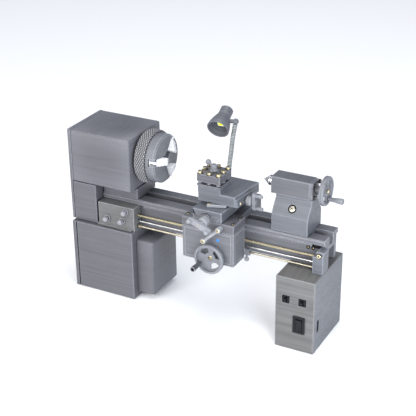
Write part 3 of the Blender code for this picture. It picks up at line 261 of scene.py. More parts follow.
class Graph:
    """One material's nodes."""

    def __init__(self, name, metallic=0.0, roughness=0.5):
        self.material = bpy.data.materials.new(name)
        self.material.use_nodes = True
        self.tree = self.material.node_tree
        self.shader = self.tree.nodes["Principled BSDF"]
        self.shader.inputs["Metallic"].default_value = metallic
        self.shader.inputs["Roughness"].default_value = roughness

    def set_input(self, socket, value):
        """Links a socket to another one, or gives it a plain value."""
        if isinstance(value, bpy.types.NodeSocket):
            self.tree.links.new(value, socket)
        else:
            socket.default_value = value

    def add(self, kind, inputs=None, **settings):
        node = self.tree.nodes.new(kind)
        for name, value in settings.items():
            setattr(node, name, value)
        for name, value in (inputs or {}).items():
            self.set_input(node.inputs[name], value)
        return node

    def place(self, scale=(1, 1, 1), turn=(0, 0, 0)):
        """Place on the piece, in millimetres, stretched by the scale and turned by degrees."""
        where = self.add("ShaderNodeTexCoord").outputs["Object"]
        factors = [s / MM for s in scale]
        inputs = {"Vector": where, "Scale": factors, "Rotation": [math.radians(a) for a in turn]}
        return self.add("ShaderNodeMapping", inputs, vector_type="POINT").outputs["Vector"]

    def math(self, operation, a, b=0.0):
        return self.add("ShaderNodeMath", {0: a, 1: b}, operation=operation).outputs[0]

    def fade(self, value, start, end, low=0.0, high=1.0):
        """The value's way from start to end, as low to high."""
        inputs = {"Value": value, "From Min": start, "From Max": end, "To Min": low, "To Max": high}
        return self.add("ShaderNodeMapRange", inputs).outputs["Result"]

    def mix(self, factor, a, b):
        """Colour a where the factor is 0, colour b where it is 1."""
        node = self.add("ShaderNodeMix", {"Factor": factor}, data_type="RGBA")
        for socket, value in ((node.inputs[6], a), (node.inputs[7], b)):
            self.set_input(socket, (*value, 1) if isinstance(value, tuple) else value)
        return node.outputs[2]

    def ramp(self, factor, *stops):
        node = self.add("ShaderNodeValToRGB", {"Fac": factor})
        elements = node.color_ramp.elements
        while len(elements) < len(stops):
            elements.new(0.5)
        for element, (position, colour) in zip(elements, stops):
            element.position = position
            element.color = (*colour, 1)
        return node.outputs["Color"]

    def noise(self, scale, detail=3.0, where=None):
        inputs = {"Vector": where or self.place(), "Scale": scale, "Detail": detail}
        return self.add("ShaderNodeTexNoise", inputs).outputs["Fac"]

    def waves(self, pitch, direction, where=None):
        """A soft ripple that repeats every pitch millimetres."""
        inputs = {"Vector": where or self.place(), "Scale": 2 * math.pi / (20 * pitch)}
        look = {"wave_type": "BANDS", "bands_direction": direction, "wave_profile": "SIN"}
        return self.add("ShaderNodeTexWave", inputs, **look).outputs["Fac"]

    def edges(self, radius):
        """1 along the sharp edges of the piece, 0 on its flats."""
        soft = self.add("ShaderNodeBevel", {"Radius": radius * MM}, samples=4)
        flat = self.add("ShaderNodeNewGeometry")
        inputs = {0: soft.outputs["Normal"], 1: flat.outputs["True Normal"]}
        same = self.add("ShaderNodeVectorMath", inputs, operation="DOT_PRODUCT")
        return self.fade(same.outputs["Value"], 0.998, 0.93)

    def painted_crease_shade(self, reach=2.2, strength=0.9):
        """Painted shade where pieces meet and in tight corners, from the ambient occlusion."""
        shelter = self.add("ShaderNodeAmbientOcclusion", {"Distance": reach * MM}, samples=4)
        return self.fade(shelter.outputs["AO"], 0.66, 0.20, 0.0, strength)

    def turn_about(self, parts, centre):
        """The angle about a line along X through the centre, given the X, Y, Z of a place."""
        rise = self.math("SUBTRACT", parts.outputs["Z"], centre[1])
        depth = self.math("SUBTRACT", parts.outputs["Y"], centre[0])
        return self.math("ARCTAN2", rise, depth)

    def bump(self, height, depth, under=None):
        inputs = {"Height": height, "Distance": depth * MM, "Strength": 1.0}
        if under:
            inputs["Normal"] = under
        return self.add("ShaderNodeBump", inputs).outputs["Normal"]

    def colour(self, value):
        self.set_input(self.shader.inputs["Base Color"], (*value, 1) if isinstance(value, tuple) else value)

    def roughness(self, value):
        self.set_input(self.shader.inputs["Roughness"], value)

    def normal(self, value):
        self.set_input(self.shader.inputs["Normal"], value)


def tone(colour, factor):
    """A darker or paler version of a colour."""
    return tuple(min(1.0, c * factor) for c in colour)


def printed(name, colour, pitch=0.2, streak=0.30, roughness=0.38, edge=2.7, banding=0.13, plain_bluish_lit_end=None):
    """Printed plastic: layer lines round the sides, raster lines on the flats, painted shade where pieces
    meet and in tight corners, painted highlights along the edges.
    The plain_bluish_lit_end colour covers the faces that look along X: a plain finish without layer lines,
    in a cooler, paler grey that paints the bluish light on those sides."""
    g = Graph(name)
    facing = g.add("ShaderNodeSeparateXYZ", {0: g.add("ShaderNodeTexCoord").outputs["Normal"]})
    flat = g.fade(g.math("ABSOLUTE", facing.outputs["Z"]), 0.72, 0.92)
    side = g.noise(1.0, 4.0, g.place((0.02, 0.02, 0.95)))
    wide = g.noise(1.0, 2.0, g.place((0.006, 0.006, 0.30)))
    raster = g.noise(1.0, 3.0, g.place((0.95, 0.03, 0.03), (0, 0, 45)))
    lines = g.mix(flat, side, raster)
    cloud = g.noise(0.03, 4.0)
    low, high = 1 - streak, 1 + streak
    shade = g.ramp(lines, (0.34, tone(colour, low)), (0.5, colour), (0.66, tone(colour, high)))
    patch = g.ramp(cloud, (0.34, tone(colour, 0.86)), (0.66, tone(colour, 1.13)))
    body = g.mix(0.40, shade, patch)
    bands = g.ramp(wide, (0.36, tone(colour, 1 - banding)), (0.64, tone(colour, 1 + banding)))
    body = g.mix(g.math("MULTIPLY", g.math("SUBTRACT", 1.0, flat), 0.45), body, bands)
    # Painted light: the faces that look along X get a plain, cooler and paler grey for the bluish light on
    # them.
    if plain_bluish_lit_end:
        plain = g.ramp(g.noise(0.12, 4.0), (0.35, tone(plain_bluish_lit_end, 0.93)), (0.65, tone(plain_bluish_lit_end, 1.07)))
        body = g.mix(g.fade(g.math("ABSOLUTE", facing.outputs["X"]), 0.7, 0.9), body, plain)
    # Painted shade: where pieces meet and in tight corners the colour darkens to 0.28 of itself.
    body = g.mix(g.painted_crease_shade(), body, tone(colour, 0.28))
    # Painted highlight: the edges are lightened to edge times the colour, fully in some patches and about
    # half in others; the same patches vary the gloss.
    scuff_and_highlight_patches = g.fade(g.noise(0.5, 5.0), 0.35, 0.62)
    painted_edge_highlight = g.math("MULTIPLY", g.edges(1.0), g.fade(scuff_and_highlight_patches, 0.0, 1.0, 0.55, 1.0))
    g.colour(g.mix(painted_edge_highlight, body, tone(colour, edge)))
    gloss = g.math("ADD", g.math("MULTIPLY", lines, 0.7), g.math("MULTIPLY", scuff_and_highlight_patches, 0.3))
    g.roughness(g.fade(gloss, 0.3, 0.8, roughness - 0.08, roughness + 0.16))
    ridges = g.mix(flat, g.waves(pitch, "Z"), g.waves(pitch * 2.1, "X", g.place(turn=(0, 0, 45))))
    g.normal(g.bump(g.noise(2.4, 5.0), 0.03, g.bump(ridges, 0.02, g.bump(lines, 0.10))))
    return g.material


def knurled(name, colour):
    """Bright diamonds between two crossing families of grooves, the grooves painted nearly black as shade.
    """
    g = Graph(name)
    parts = g.add("ShaderNodeSeparateXYZ", {0: g.place()})
    start = place((RING_X[0] + KNURL_MARGIN, *AXIS)) / MM
    length = RING_X[1] - RING_X[0] - 2 * KNURL_MARGIN
    around = g.math("MULTIPLY", g.turn_about(parts, (start.y, start.z)), KNURL_COLUMNS / (2 * math.pi))
    along = g.math("MULTIPLY", g.math("SUBTRACT", parts.outputs["X"], start.x), KNURL_ROWS / length)
    first = g.math("PINGPONG", g.math("MULTIPLY", g.math("ADD", around, along), 0.5), 0.5)
    second = g.math("PINGPONG", g.math("MULTIPLY", g.math("SUBTRACT", around, along), 0.5), 0.5)
    height = g.math("MINIMUM", first, second)
    speck = g.noise(0.8, 4.0)
    body = g.ramp(speck, (0.3, tone(colour, 0.8)), (0.7, tone(colour, 1.2)))
    # Painted shade: the grooves are painted at 0.07 of the colour.
    g.colour(g.mix(g.fade(height, 0.08, 0.24), tone(colour, 0.07), body))
    g.roughness(g.fade(height, 0.0, 0.4, 0.6, 0.32))
    g.normal(g.bump(g.noise(2.4, 4.0), 0.02))
    return g.material


def ringed(name, colour, axis, edge=2.0):
    """Printed plastic whose layers follow the piece's own axis, as on the lamp shade, with painted
    highlights along its edges.
    """
    g = Graph(name)
    inputs = {0: g.place(), 1: Vector(axis).normalized()}
    along = g.add("ShaderNodeVectorMath", inputs, operation="DOT_PRODUCT")
    stack = g.add("ShaderNodeCombineXYZ", {"Z": along.outputs["Value"]}).outputs[0]
    lines = g.noise(0.8, 2.0, stack)
    drift = g.noise(0.25, 4.0)
    shade = g.ramp(lines, (0.38, tone(colour, 0.55)), (0.5, colour), (0.62, tone(colour, 1.75)))
    body = g.mix(0.2, shade, g.ramp(drift, (0.35, tone(colour, 0.8)), (0.65, tone(colour, 1.25))))
    # Painted highlight: the edges are lightened to edge times the colour.
    g.colour(g.mix(g.edges(0.6), body, tone(colour, edge)))
    g.roughness(g.fade(lines, 0.3, 0.7, 0.34, 0.52))
    g.normal(g.bump(g.noise(2.4, 4.0), 0.02, g.bump(lines, 0.12)))
    return g.material


def metal(name, colour, roughness=0.2, direction="X", pitch=0.12, grime=0.25):
    """Turned or drawn metal: fine tool lines, a few dull patches."""
    g = Graph(name, metallic=1.0)
    lines = g.waves(pitch, direction)
    patch = g.noise(0.22, 5.0)
    speck = g.noise(3.0, 4.0)
    g.colour(g.ramp(patch, (0.25, tone(colour, 1 - grime)), (0.55, colour), (0.8, tone(colour, 1.12))))
    rough = g.math("ADD", g.math("MULTIPLY", speck, 0.6), g.math("MULTIPLY", patch, 0.4))
    g.roughness(g.fade(rough, 0.3, 0.7, roughness * 0.7, roughness * 1.7))
    g.normal(g.bump(speck, 0.008, g.bump(lines, 0.006)))
    return g.material


def screw_thread(name, colour, pitch):
    """Painted highlights on the crests and painted shade in the roots along the lead screw, one crest every
    pitch.
    """
    g = Graph(name, metallic=1.0, roughness=0.22)
    parts = g.add("ShaderNodeSeparateXYZ", {0: g.place()})
    low, high = corners("lead_screw")
    turn = g.turn_about(parts, ((low.y + high.y) / 2, (low.z + high.z) / 2))
    phase = g.math("ADD", g.math("MULTIPLY", parts.outputs["X"], 2 * math.pi / pitch), turn)
    crest = g.math("SINE", phase)
    # Painted shade in the roots, down to 0.55 of the colour; the crests keep the full colour as painted
    # highlights.
    g.colour(g.ramp(g.fade(crest, -1.0, 1.0), (0.1, tone(colour, 0.55)), (0.6, colour)))
    g.roughness(g.fade(g.noise(1.2, 4.0), 0.3, 0.7, 0.16, 0.34))
    g.normal(g.bump(crest, 0.05))
    return g.material


def plastic(name, colour, roughness=0.35, grain=0.01, gloss=0.5, glow=0.0):
    """Moulded plastic, paint or rubber, a little cloudy, with a fine grain. The glow argument makes it shine
    with its own colour, a painted glow.
    """
    g = Graph(name)
    cloud = g.noise(0.3, 4.0)
    g.colour(g.ramp(cloud, (0.3, tone(colour, 0.8)), (0.7, tone(colour, 1.25))))
    g.roughness(g.fade(g.noise(1.7, 4.0), 0.3, 0.7, roughness * 0.8, roughness * 1.3))
    g.shader.inputs["Specular IOR Level"].default_value = gloss
    g.shader.inputs["Emission Color"].default_value = (*colour, 1)
    # Painted glow: a part that is no lamp shines with its own colour.
    g.shader.inputs["Emission Strength"].default_value = glow
    g.normal(g.bump(g.noise(4.5, 3.0), grain))
    return g.material


GRAPHITE = (0.098, 0.099, 0.112)
COOL_GREY = (0.104, 0.110, 0.127)
WARM_GREY = (0.100, 0.099, 0.098)
GEARBOX_GREY = (0.118, 0.121, 0.121)
APRON_GREY = (0.126, 0.129, 0.144)
CHUCK_GREY = (0.142, 0.148, 0.164)
WHEEL_GREY = (0.130, 0.134, 0.148)
BED_GREY = (0.118, 0.119, 0.133)
BEAD_HIGHLIGHT_GREY = (0.175, 0.178, 0.192)
PALE_GREY = (0.160, 0.165, 0.183)
LIGHT_GREY = (0.235, 0.240, 0.262)
DARK_GREY = (0.07, 0.073, 0.083)
SHADE_GREY = (0.100, 0.104, 0.118)
KNURL_GREY = (0.27, 0.27, 0.285)
NECK_GREY = (0.37, 0.39, 0.39)
NECK_SHADOW = (0.10, 0.105, 0.105)
JAW_WHITE = (0.78, 0.78, 0.81)
CHIP_WHITE = (0.75, 0.77, 0.72)
BLACK = (0.012, 0.012, 0.015)
PAINTED_SHADOW_BLACK = (0.006, 0.006, 0.007)
RUBBER_BLACK = (0.02, 0.02, 0.02)
STEEL = (0.72, 0.72, 0.73)
SATIN = (0.30, 0.30, 0.325)
ROD_METAL = (0.40, 0.40, 0.41)
GILT_METAL = (0.42, 0.38, 0.30)
THREAD_METAL = (0.52, 0.46, 0.31)
NICKEL = (0.56, 0.53, 0.44)
BRASS = (0.66, 0.57, 0.37)
BLUE = (0.02, 0.22, 0.75)
BOARD_GREEN = (0.01, 0.20, 0.12)
PHOSPHOR_YELLOW = (0.80, 0.85, 0.005)
THREAD_PITCH = 0.8


def build_materials():
    return {
        # The edge factor of each printed finish sets how much its painted edge highlights lighten it.
        "graphite": printed("graphite_print", GRAPHITE),
        "cool": printed("cool_print", COOL_GREY),
        # The right pedestal's ends are painted cooler and paler, for the bluish light on them.
        "panel": printed("panel_print", WARM_GREY, streak=0.48, banding=0.34, plain_bluish_lit_end=COOL_GREY),
        "gearbox": printed("gearbox_print", GEARBOX_GREY),
        "apron": printed("apron_print", APRON_GREY, edge=2.5),
        "pale": printed("pale_print", PALE_GREY, streak=0.16, edge=1.6),
        "light": printed("light_print", LIGHT_GREY, streak=0.14, edge=1.5),
        "white": printed("white_print", JAW_WHITE, streak=0.05, edge=1.08, roughness=0.5),
        "dark": printed("dark_print", DARK_GREY),
        "steel": metal("steel", STEEL),
        "satin": metal("satin_metal", SATIN, roughness=0.30, pitch=0.3),
        "rod": metal("drawn_rod", ROD_METAL, roughness=0.18),
        "gilt": metal("gilt_rod", GILT_METAL, roughness=0.24),
        "thread": screw_thread("thread", THREAD_METAL, THREAD_PITCH),
        "brass": metal("brass", BRASS, roughness=0.2, direction="Z"),
        "neck": plastic("neck_metal", NECK_GREY, 0.34),
        "neck_groove": plastic("neck_groove", NECK_SHADOW, 0.5),
        "black": plastic("black_plastic", BLACK, 0.45, gloss=0.12),
        # The bore finish paints shade and shadow near-black: screw recesses and slots, bores, holes, the
        # rings round screw heads and the gaps between parts.
        "bore": plastic("painted_shade_black", PAINTED_SHADOW_BLACK, 0.8, gloss=0.1),
        "rubber": plastic("belt_rubber", RUBBER_BLACK, 0.75, 0.03),
        "knurl": knurled("knurled_print", KNURL_GREY),
        # The apron's raised frames are painted paler than the apron: a painted highlight.
        "bead": printed("bead_highlight_print", BEAD_HIGHLIGHT_GREY, streak=0.14, edge=1.6),
        "shade": ringed("shade_print", SHADE_GREY, SHADE_AXIS),
        "chuck": printed("chuck_print", CHUCK_GREY, streak=0.14, edge=2.7),
        "wheel": printed("wheel_print", WHEEL_GREY, streak=0.16, edge=2.2),
        "bedway": printed("bed_print", BED_GREY, streak=0.28, edge=3.2),
        "pan": metal("screw_nickel", NICKEL, roughness=0.24, direction="Z"),
        "blue": plastic("blue_sight", BLUE, 0.2),
        "board": plastic("lamp_board", BOARD_GREEN, 0.4),
        "chip_frame": plastic("chip_frame", CHIP_WHITE, 0.5),
        # The LED chip is not lit; its glow is painted.
        "phosphor": plastic("phosphor", PHOSPHOR_YELLOW, 0.45, glow=0.35),
    }


NODE_FINISH = {
    "left_pedestal": "graphite", "pedestal_end_cover": "graphite", "motor_cover": "graphite",
    "right_pedestal": "panel", "gear_guard": "graphite", "gear_column": "graphite",
    "headstock_cover": "graphite", "headstock_casting": "graphite", "bed": "bedway",
    "feed_gearbox": "gearbox", "rod_bracket": "cool", "saddle": "graphite", "apron": "apron",
    "cross_slide": "cool", "swivel_base": "dark", "compound_slide": "cool", "tool_post": "graphite",
    "tool_post_lever": "pale", "chuck_body": "chuck", "chuck_scroll_ring": "cool",
    "chuck_jaw_1": "white", "chuck_jaw_2": "white", "chuck_jaw_3": "white",
    "tailstock_base": "cool", "tailstock_barrel": "graphite", "tailstock_quill": "steel",
    "dead_centre": "steel", "tailstock_handwheel": "wheel", "tailstock_grip": "wheel",
    "carriage_handwheel": "pale", "carriage_grip": "satin", "cross_slide_crank": "light",
    "compound_crank": "pale", "half_nut_lever": "light", "start_lever": "pale",
    "feed_knob_left": "light", "feed_knob_upper": "light", "feed_knob_lower": "light",
    "lamp_neck": "neck", "lamp_shade": "shade", "lamp_led": "brass", "lead_screw": "thread",
    "feed_rod": "rod", "control_rod": "gilt", "spindle": "steel", "front_bearing": "steel",
    "rear_bearing": "steel", "spindle_pulley": "pale", "lead_screw_pulley": "pale",
    "motor_pulley": "steel", "motor": "steel", "drive_belt": "rubber", "feed_belt": "rubber",
    "power_switch_body": "black", "power_rocker": "black", "switch_board": "black",
    "toggle_lever_left": "black", "toggle_lever_right": "black", "charging_port": "black",
    "pinion_shaft": "steel",
}
# How far the edges of the CAD nodes are rounded, and those that are rounder than the rest.
EDGE_RADIUS = 0.22
EDGE_ROUND = {"headstock_cover": 0.3, "gear_guard": 0.3, "motor_cover": 0.3, "left_pedestal": 0.3}
SHARP_ANGLE = 28


def round_edges(obj, width, segments):
    """Softens the sharp edges of a piece with a small bevel."""
    rounding = obj.modifiers.new("rounding", "BEVEL")
    rounding.width = width * MM
    rounding.segments = segments
    rounding.limit_method = "ANGLE"
    rounding.angle_limit = math.radians(SHARP_ANGLE)
    rounding.harden_normals = True


def finish_node(name, material):
    """Gives a CAD node its material, softly rounded edges and smooth round stretches."""
    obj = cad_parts[name]
    obj.data.materials.clear()
    obj.data.materials.append(material)
    if "custom_normal" in obj.data.attributes:
        obj.data.attributes.remove(obj.data.attributes["custom_normal"])
    for polygon in obj.data.polygons:
        polygon.use_smooth = True
    weld = obj.modifiers.new("weld", "WELD")
    weld.merge_threshold = 0.001 * MM
    flats = obj.modifiers.new("flats", "DECIMATE")
    flats.decimate_type = "DISSOLVE"
    flats.angle_limit = math.radians(1.0)
    round_edges(obj, EDGE_ROUND.get(name, EDGE_RADIUS), 2)


def build_nodes(materials):
    for name, finish in NODE_FINISH.items():
        finish_node(name, materials[finish])


# ---- added pieces: the tools that make them ----


def hexagon(angle):
    return math.cos(math.pi / 6) / math.cos((angle % (math.pi / 3)) - math.pi / 6)


def cross_slot(angle):
    turn = (angle + math.pi / 4) % (math.pi / 2) - math.pi / 4
    return 1.0 if abs(turn) < 0.26 else 0.36


def single_slot(angle):
    turn = (angle + math.pi / 2) % math.pi - math.pi / 2
    return 1.0 if abs(turn) < 0.24 else 0.24


def circle(angle):
    return 1.0


class Solid:
    """A mesh built from rings and prisms, in machine millimetres. A finish is a material's number."""

    def __init__(self):
        self.mesh = bmesh.new()

    def ring(self, centre, across, up, radius, form=circle, steps=24):
        spots = []
        for k in range(steps):
            angle = 2 * math.pi * k / steps
            reach = radius * form(angle)
            spots.append(Vector(centre) + across * reach * math.cos(angle) + up * reach * math.sin(angle))
        return [self.mesh.verts.new(p) for p in spots]

    def join(self, first, second, finish=0):
        """A band of faces between two rings."""
        count = len(first)
        for k in range(count):
            n = (k + 1) % count
            self.mesh.faces.new((first[k], first[n], second[n], second[k])).material_index = finish

    def cap(self, ring, finish=0, turned=False):
        face = self.mesh.faces.new(list(reversed(ring)) if turned else ring)
        face.material_index = finish

    def turned(self, centre, axis, profile, steps=24):
        """Stacked rings along the axis. Each row is radius, height, outline, finish of the face up to it."""
        axis = Vector(axis).normalized()
        across = axis.orthogonal().normalized() if abs(axis.x) < 0.9 else Vector(BACK)
        up = axis.cross(across)
        rings = []
        for radius, height, form, finish in profile:
            rings.append(self.ring(Vector(centre) + axis * height, across, up, radius, form, steps))
            if len(rings) > 1:
                self.join(rings[-2], rings[-1], finish)
        self.cap(rings[0], 0, turned=True)
        self.cap(rings[-1], profile[-1][3])

    def disc(self, centre, axis, radius, height, steps=24):
        self.turned(centre, axis, ((radius, 0.0, circle, 0), (radius, height, circle, 0)), steps)

    def tube(self, path, radii, finishes=(0,), steps=16):
        """A round tube along a path, with the finishes repeating from ring to ring."""
        rings = []
        for k, spot in enumerate(path):
            ahead = path[min(k + 1, len(path) - 1)] - path[max(k - 1, 0)]
            across = ahead.cross(Vector(BACK)).normalized()
            up = ahead.normalized().cross(across)
            rings.append(self.ring(spot, across, up, radii[k], steps=steps))
            if k:
                self.join(rings[-2], rings[-1], finishes[k % len(finishes)])
        self.cap(rings[0])
        self.cap(rings[-1])

    def prism(self, outline, sweep, finish=0):
        """A flat outline of points, pushed along the sweep."""
        low = [self.mesh.verts.new(Vector(p)) for p in outline]
        high = [self.mesh.verts.new(Vector(p) + Vector(sweep)) for p in outline]
        self.join(low, high, finish)
        self.cap(low, finish, turned=True)
        self.cap(high, finish)

    def block(self, low, high, finish=0):
        x, y, z = low
        outline = ((x, y, z), (high[0], y, z), (high[0], high[1], z), (x, high[1], z))
        self.prism(outline, (0, 0, high[2] - z), finish)


def add_piece(name, solid, finishes, body, replaces=(), bevel=0.0, crease=35.0):
    """Turns a Solid into an object that rides on a body."""
    bmesh.ops.recalc_face_normals(solid.mesh, faces=solid.mesh.faces)
    for vert in solid.mesh.verts:
        vert.co = place(vert.co)
    mesh = bpy.data.meshes.new(name)
    solid.mesh.to_mesh(mesh)
    solid.mesh.free()
    for polygon in mesh.polygons:
        polygon.use_smooth = True
    mesh.set_sharp_from_angle(angle=math.radians(crease))
    obj = bpy.data.objects.new(name, mesh)
    bpy.context.scene.collection.objects.link(obj)
    for finish in finishes:
        mesh.materials.append(finish)
    if bevel:
        round_edges(obj, bevel, 3)
    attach(obj, body)
    if replaces:
        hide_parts(*replaces)
    return obj


def socket_head(solid, spot, axis, radius, height, recess=0.72, depth=1.3):
    """A screw head with a chamfered rim and a hexagonal recess, painted near-black inside as shade."""
    solid.turned(spot, axis, (
        (radius, 0.0, circle, 0),
        (radius, height - 0.25, circle, 0),
        (radius - 0.25, height, circle, 0),
        (radius * recess, height, hexagon, 0),
        (radius * recess, height - depth, hexagon, 1),
    ))


def pan_head(solid, spot, axis, radius, height, form=cross_slot):
    """A domed screw head with a driver slot, painted near-black inside as shade."""
    solid.turned(spot, axis, (
        (radius, 0.0, circle, 0),
        (radius, height * 0.35, circle, 0),
        (radius * 0.92, height * 0.62, circle, 0),
        (radius * 0.78, height * 0.86, circle, 0),
        (radius * 0.62, height, circle, 0),
        (radius * 0.60, height, form, 0),
        (radius * 0.46, height * 0.30, form, 1),
    ), steps=32)


def ring_head(solid, spot, axis, radius, height, bore=0.42):
    """A tube's end: a bright ring round a bore painted near-black inside as shade."""
    solid.turned(spot, axis, (
        (radius, 0.0, circle, 0),
        (radius, height - 0.2, circle, 0),
        (radius - 0.2, height, circle, 0),
        (radius * bore + 0.12, height, circle, 0),
        (radius * bore, height - 0.12, circle, 1),
        (radius * bore, height - 0.5, circle, 1),
    ))


def post_grid():
    """The places of the eight clamp screws round the top of the tool post."""
    steps = (-1, 0, 1)
    return [(POST[0] + i * POST_PITCH, POST[1] + j * POST_PITCH) for i in steps for j in steps if i or j]


# ---- screws ----


def build_tool_post_screws(m):
    screws = Solid()
    for x, y in post_grid():
        socket_head(screws, (x, y, POST_TOP + 0.3), UP, 2.0, 2.25, recess=0.74, depth=1.6)
    add_piece("tool_post_screws", screws, (m["brass"], m["bore"]), "tool_post")


def build_saddle_screws(m):
    screws = Solid()
    for x, y in SADDLE_SCREWS:
        socket_head(screws, (x, y, SADDLE_TOP + 0.1), UP, 1.45, 0.6, depth=0.35)
    add_piece("saddle_screws", screws, (m["brass"], m["bore"]), "carriage")


def build_clamp_screw(m):
    screw = Solid()
    socket_head(screw, (CLAMP_PATH[0][0] - 0.2, CLAMP_PATH[0][1] + 0.2, CLAMP_TOP), UP, 1.6, 1.2)
    add_piece("swivel_clamp_screw", screw, (m["brass"], m["bore"]), "swivel")


def build_compound_screw(m):
    screw = Solid()
    socket_head(screw, COMPOUND_END, TAILWARD, 1.75, 0.6, depth=0.5)
    add_piece("compound_end_screw", screw, (m["brass"], m["bore"]), "compound")


def build_carriage_wheel_screw(m):
    screw = Solid()
    pan_head(screw, (WHEEL[0], WHEEL_FRONT, WHEEL[1]), FRONT, 1.95, 0.9)
    add_piece("carriage_wheel_screw", screw, (m["brass"], m["bore"]), "carriage_wheel")


def build_cross_crank_screw(m):
    screw = Solid()
    spot = (CROSS_CRANK[0], CRANK_FRONT, CROSS_CRANK[1])
    pan_head(screw, spot, FRONT, 1.75, 0.9, form=single_slot)
    add_piece("cross_crank_screw", screw, (m["brass"], m["bore"]), "cross_crank")


def build_half_nut_rings(m):
    rings = Solid()
    ring_head(rings, LEVER_END, FRONT, 1.75, 0.45)
    ring_head(rings, LEVER_HUB, FRONT, 2.0, 0.45)
    add_piece("half_nut_rings", rings, (m["brass"], m["bore"]), "half_nut_lever")


def build_tailstock_screw(m):
    screw = Solid()
    pan_head(screw, Vector(TAIL_SCREW) - TAIL_SLOPE * 0.1, TAIL_SLOPE, 2.95, 1.3)
    add_piece("tailstock_screw", screw, (m["pan"], m["bore"]), "tailstock")


def build_tail_wheel_screw(m):
    screw = Solid()
    pan_head(screw, (TAIL_WHEEL_END, *AXIS), TAILWARD, 1.9, 0.9)
    add_piece("tail_wheel_screw", screw, (m["brass"], m["bore"]), "tail_wheel")


def build_bed_end_screws(m):
    screws = Solid()
    socket_head(screws, BRACKET_SCREW, FRONT, 1.95, 0.75, recess=0.42, depth=0.6)
    for x in WEB_HOLES:
        ring_head(screws, (x, WEB_FRONT - 0.5, WEB_HOLE_Z), FRONT, 0.85, 0.35, bore=0.3)
    add_piece("bed_end_screws", screws, (m["brass"], m["bore"]), "frame")


def build_tailstock_bolts(m):
    """Four black bolts in the end plate of the barrel."""
    bolts = Solid()
    for i in (-1, 1):
        for j in (-1, 1):
            spot = (BARREL_END, AXIS[0] + i * BOLT_OFFSET, BARREL_Z + j * BOLT_OFFSET)
            socket_head(bolts, spot, TAILWARD, 1.98, 1.5, depth=1.1)
    add_piece("tailstock_bolts", bolts, (m["black"], m["bore"]), "tailstock")


# ---- painted shade and shadow: plain black in holes, round screw heads and in joints; and small trim ----


def build_bed_end_hole_shade(m):
    # Black discs paint the shade in the web's screw holes and round the bracket screw; a black block paints
    # the shadow in the gap behind the bracket top.
    holes = Solid()
    for x in WEB_HOLES:
        holes.disc((x, WEB_FRONT + 0.2, WEB_HOLE_Z), FRONT, 1.7, 0.45)
    holes.block(*WEB_GAP_SHADOW)
    holes.disc(BRACKET_SCREW, FRONT, 2.5, 0.5)
    add_piece("bed_end_hole_shade", holes, (m["bore"],), "frame")


def build_left_joint_shadows(m):
    shadows = Solid()
    shadows.block(*COLUMN_JOINT)
    shadows.block(*COVER_JOINT)
    add_piece("left_joint_shadows", shadows, (m["bore"],), "frame")


def build_post_screw_shadows(m):
    # Black rings round the screw heads paint their shadows on the top of the post.
    shadow_rings = Solid()
    for x, y in post_grid():
        shadow_rings.disc((x, y, POST_TOP), UP, 2.5, 0.28)
    add_piece("post_screw_shadows", shadow_rings, (m["bore"],), "tool_post")


def build_saddle_screw_shadows(m):
    # Black rings round the screw heads paint their shadows on the saddle.
    shadow_rings = Solid()
    for x, y in SADDLE_SCREWS:
        shadow_rings.disc((x, y, SADDLE_TOP), UP, 1.95, 0.47)
    add_piece("saddle_screw_shadows", shadow_rings, (m["bore"],), "carriage")


def build_knob_shade(m):
    # A black disc at the root of each knob paints the shade in its groove.
    for side, x, z in KNOBS:
        groove = Solid()
        groove.disc((x, KNOB_ROOT, z), BACK, 2.3, 0.55)
        add_piece(f"knob_groove_shade_{side}", groove, (m["bore"],), f"knob_{side}")


def build_tailstock_screw_shade(m):
    # A black disc round the screw paints the shade in its counterbore.
    seat = Solid()
    seat.disc(Vector(TAIL_SCREW) - TAIL_SLOPE * 0.6, TAIL_SLOPE, 3.9, 0.72, steps=32)
    add_piece("tailstock_screw_shade", seat, (m["bore"],), "tailstock")


def build_post_lever_cap(m):
    """The cap on the hub of the tool post's lever, with its hexagonal hole painted near-black inside as
    shade.
    """
    cap = Solid()
    cap.turned((*POST, LEVER_CAP_SEAT), UP, (
        (2.1, 0.0, circle, 0),
        (2.1, 0.45, circle, 0),
        (1.9, 0.65, circle, 0),
        (1.45, 0.65, circle, 0),
        (1.4, 0.1, hexagon, 1),
    ))
    add_piece("post_lever_cap", cap, (m["pale"], m["bore"]), "tool_post_lever")


def build_grip_mouth(m):
    """The open end of the tube that the carriage wheel's grip is made of, its bore painted near-black as
    shade.
    """
    mouth = Solid()
    mouth.turned((GRIP_SPOT[0], GRIP_END, GRIP_SPOT[1]), FRONT, (
        (2.45, 0.0, circle, 0),
        (2.45, 0.2, circle, 0),
        (2.3, 0.28, circle, 0),
        (1.62, 0.28, circle, 0),
        (1.55, 0.05, circle, 1),
    ))
    add_piece("carriage_grip_mouth", mouth, (m["satin"], m["bore"]), "carriage_grip")


def build_apron_sight(m):
    """The small blue dome on the apron."""
    dome = Solid()
    dome.turned(APRON_SIGHT, FRONT, (
        (1.3, 0.0, circle, 0),
        (1.3, 0.12, circle, 0),
        (1.1, 0.3, circle, 1),
        (0.7, 0.5, circle, 1),
        (0.2, 0.58, circle, 1),
    ))
    add_piece("apron_sight", dome, (m["apron"], m["blue"]), "carriage")


# ---- chuck ----


def ring_spot(x, radius, column):
    """A place on the chuck's ring, counted round it in knurl columns."""
    angle = 2 * math.pi * column / KNURL_COLUMNS
    return x, AXIS[0] + radius * math.cos(angle), AXIS[1] + radius * math.sin(angle)


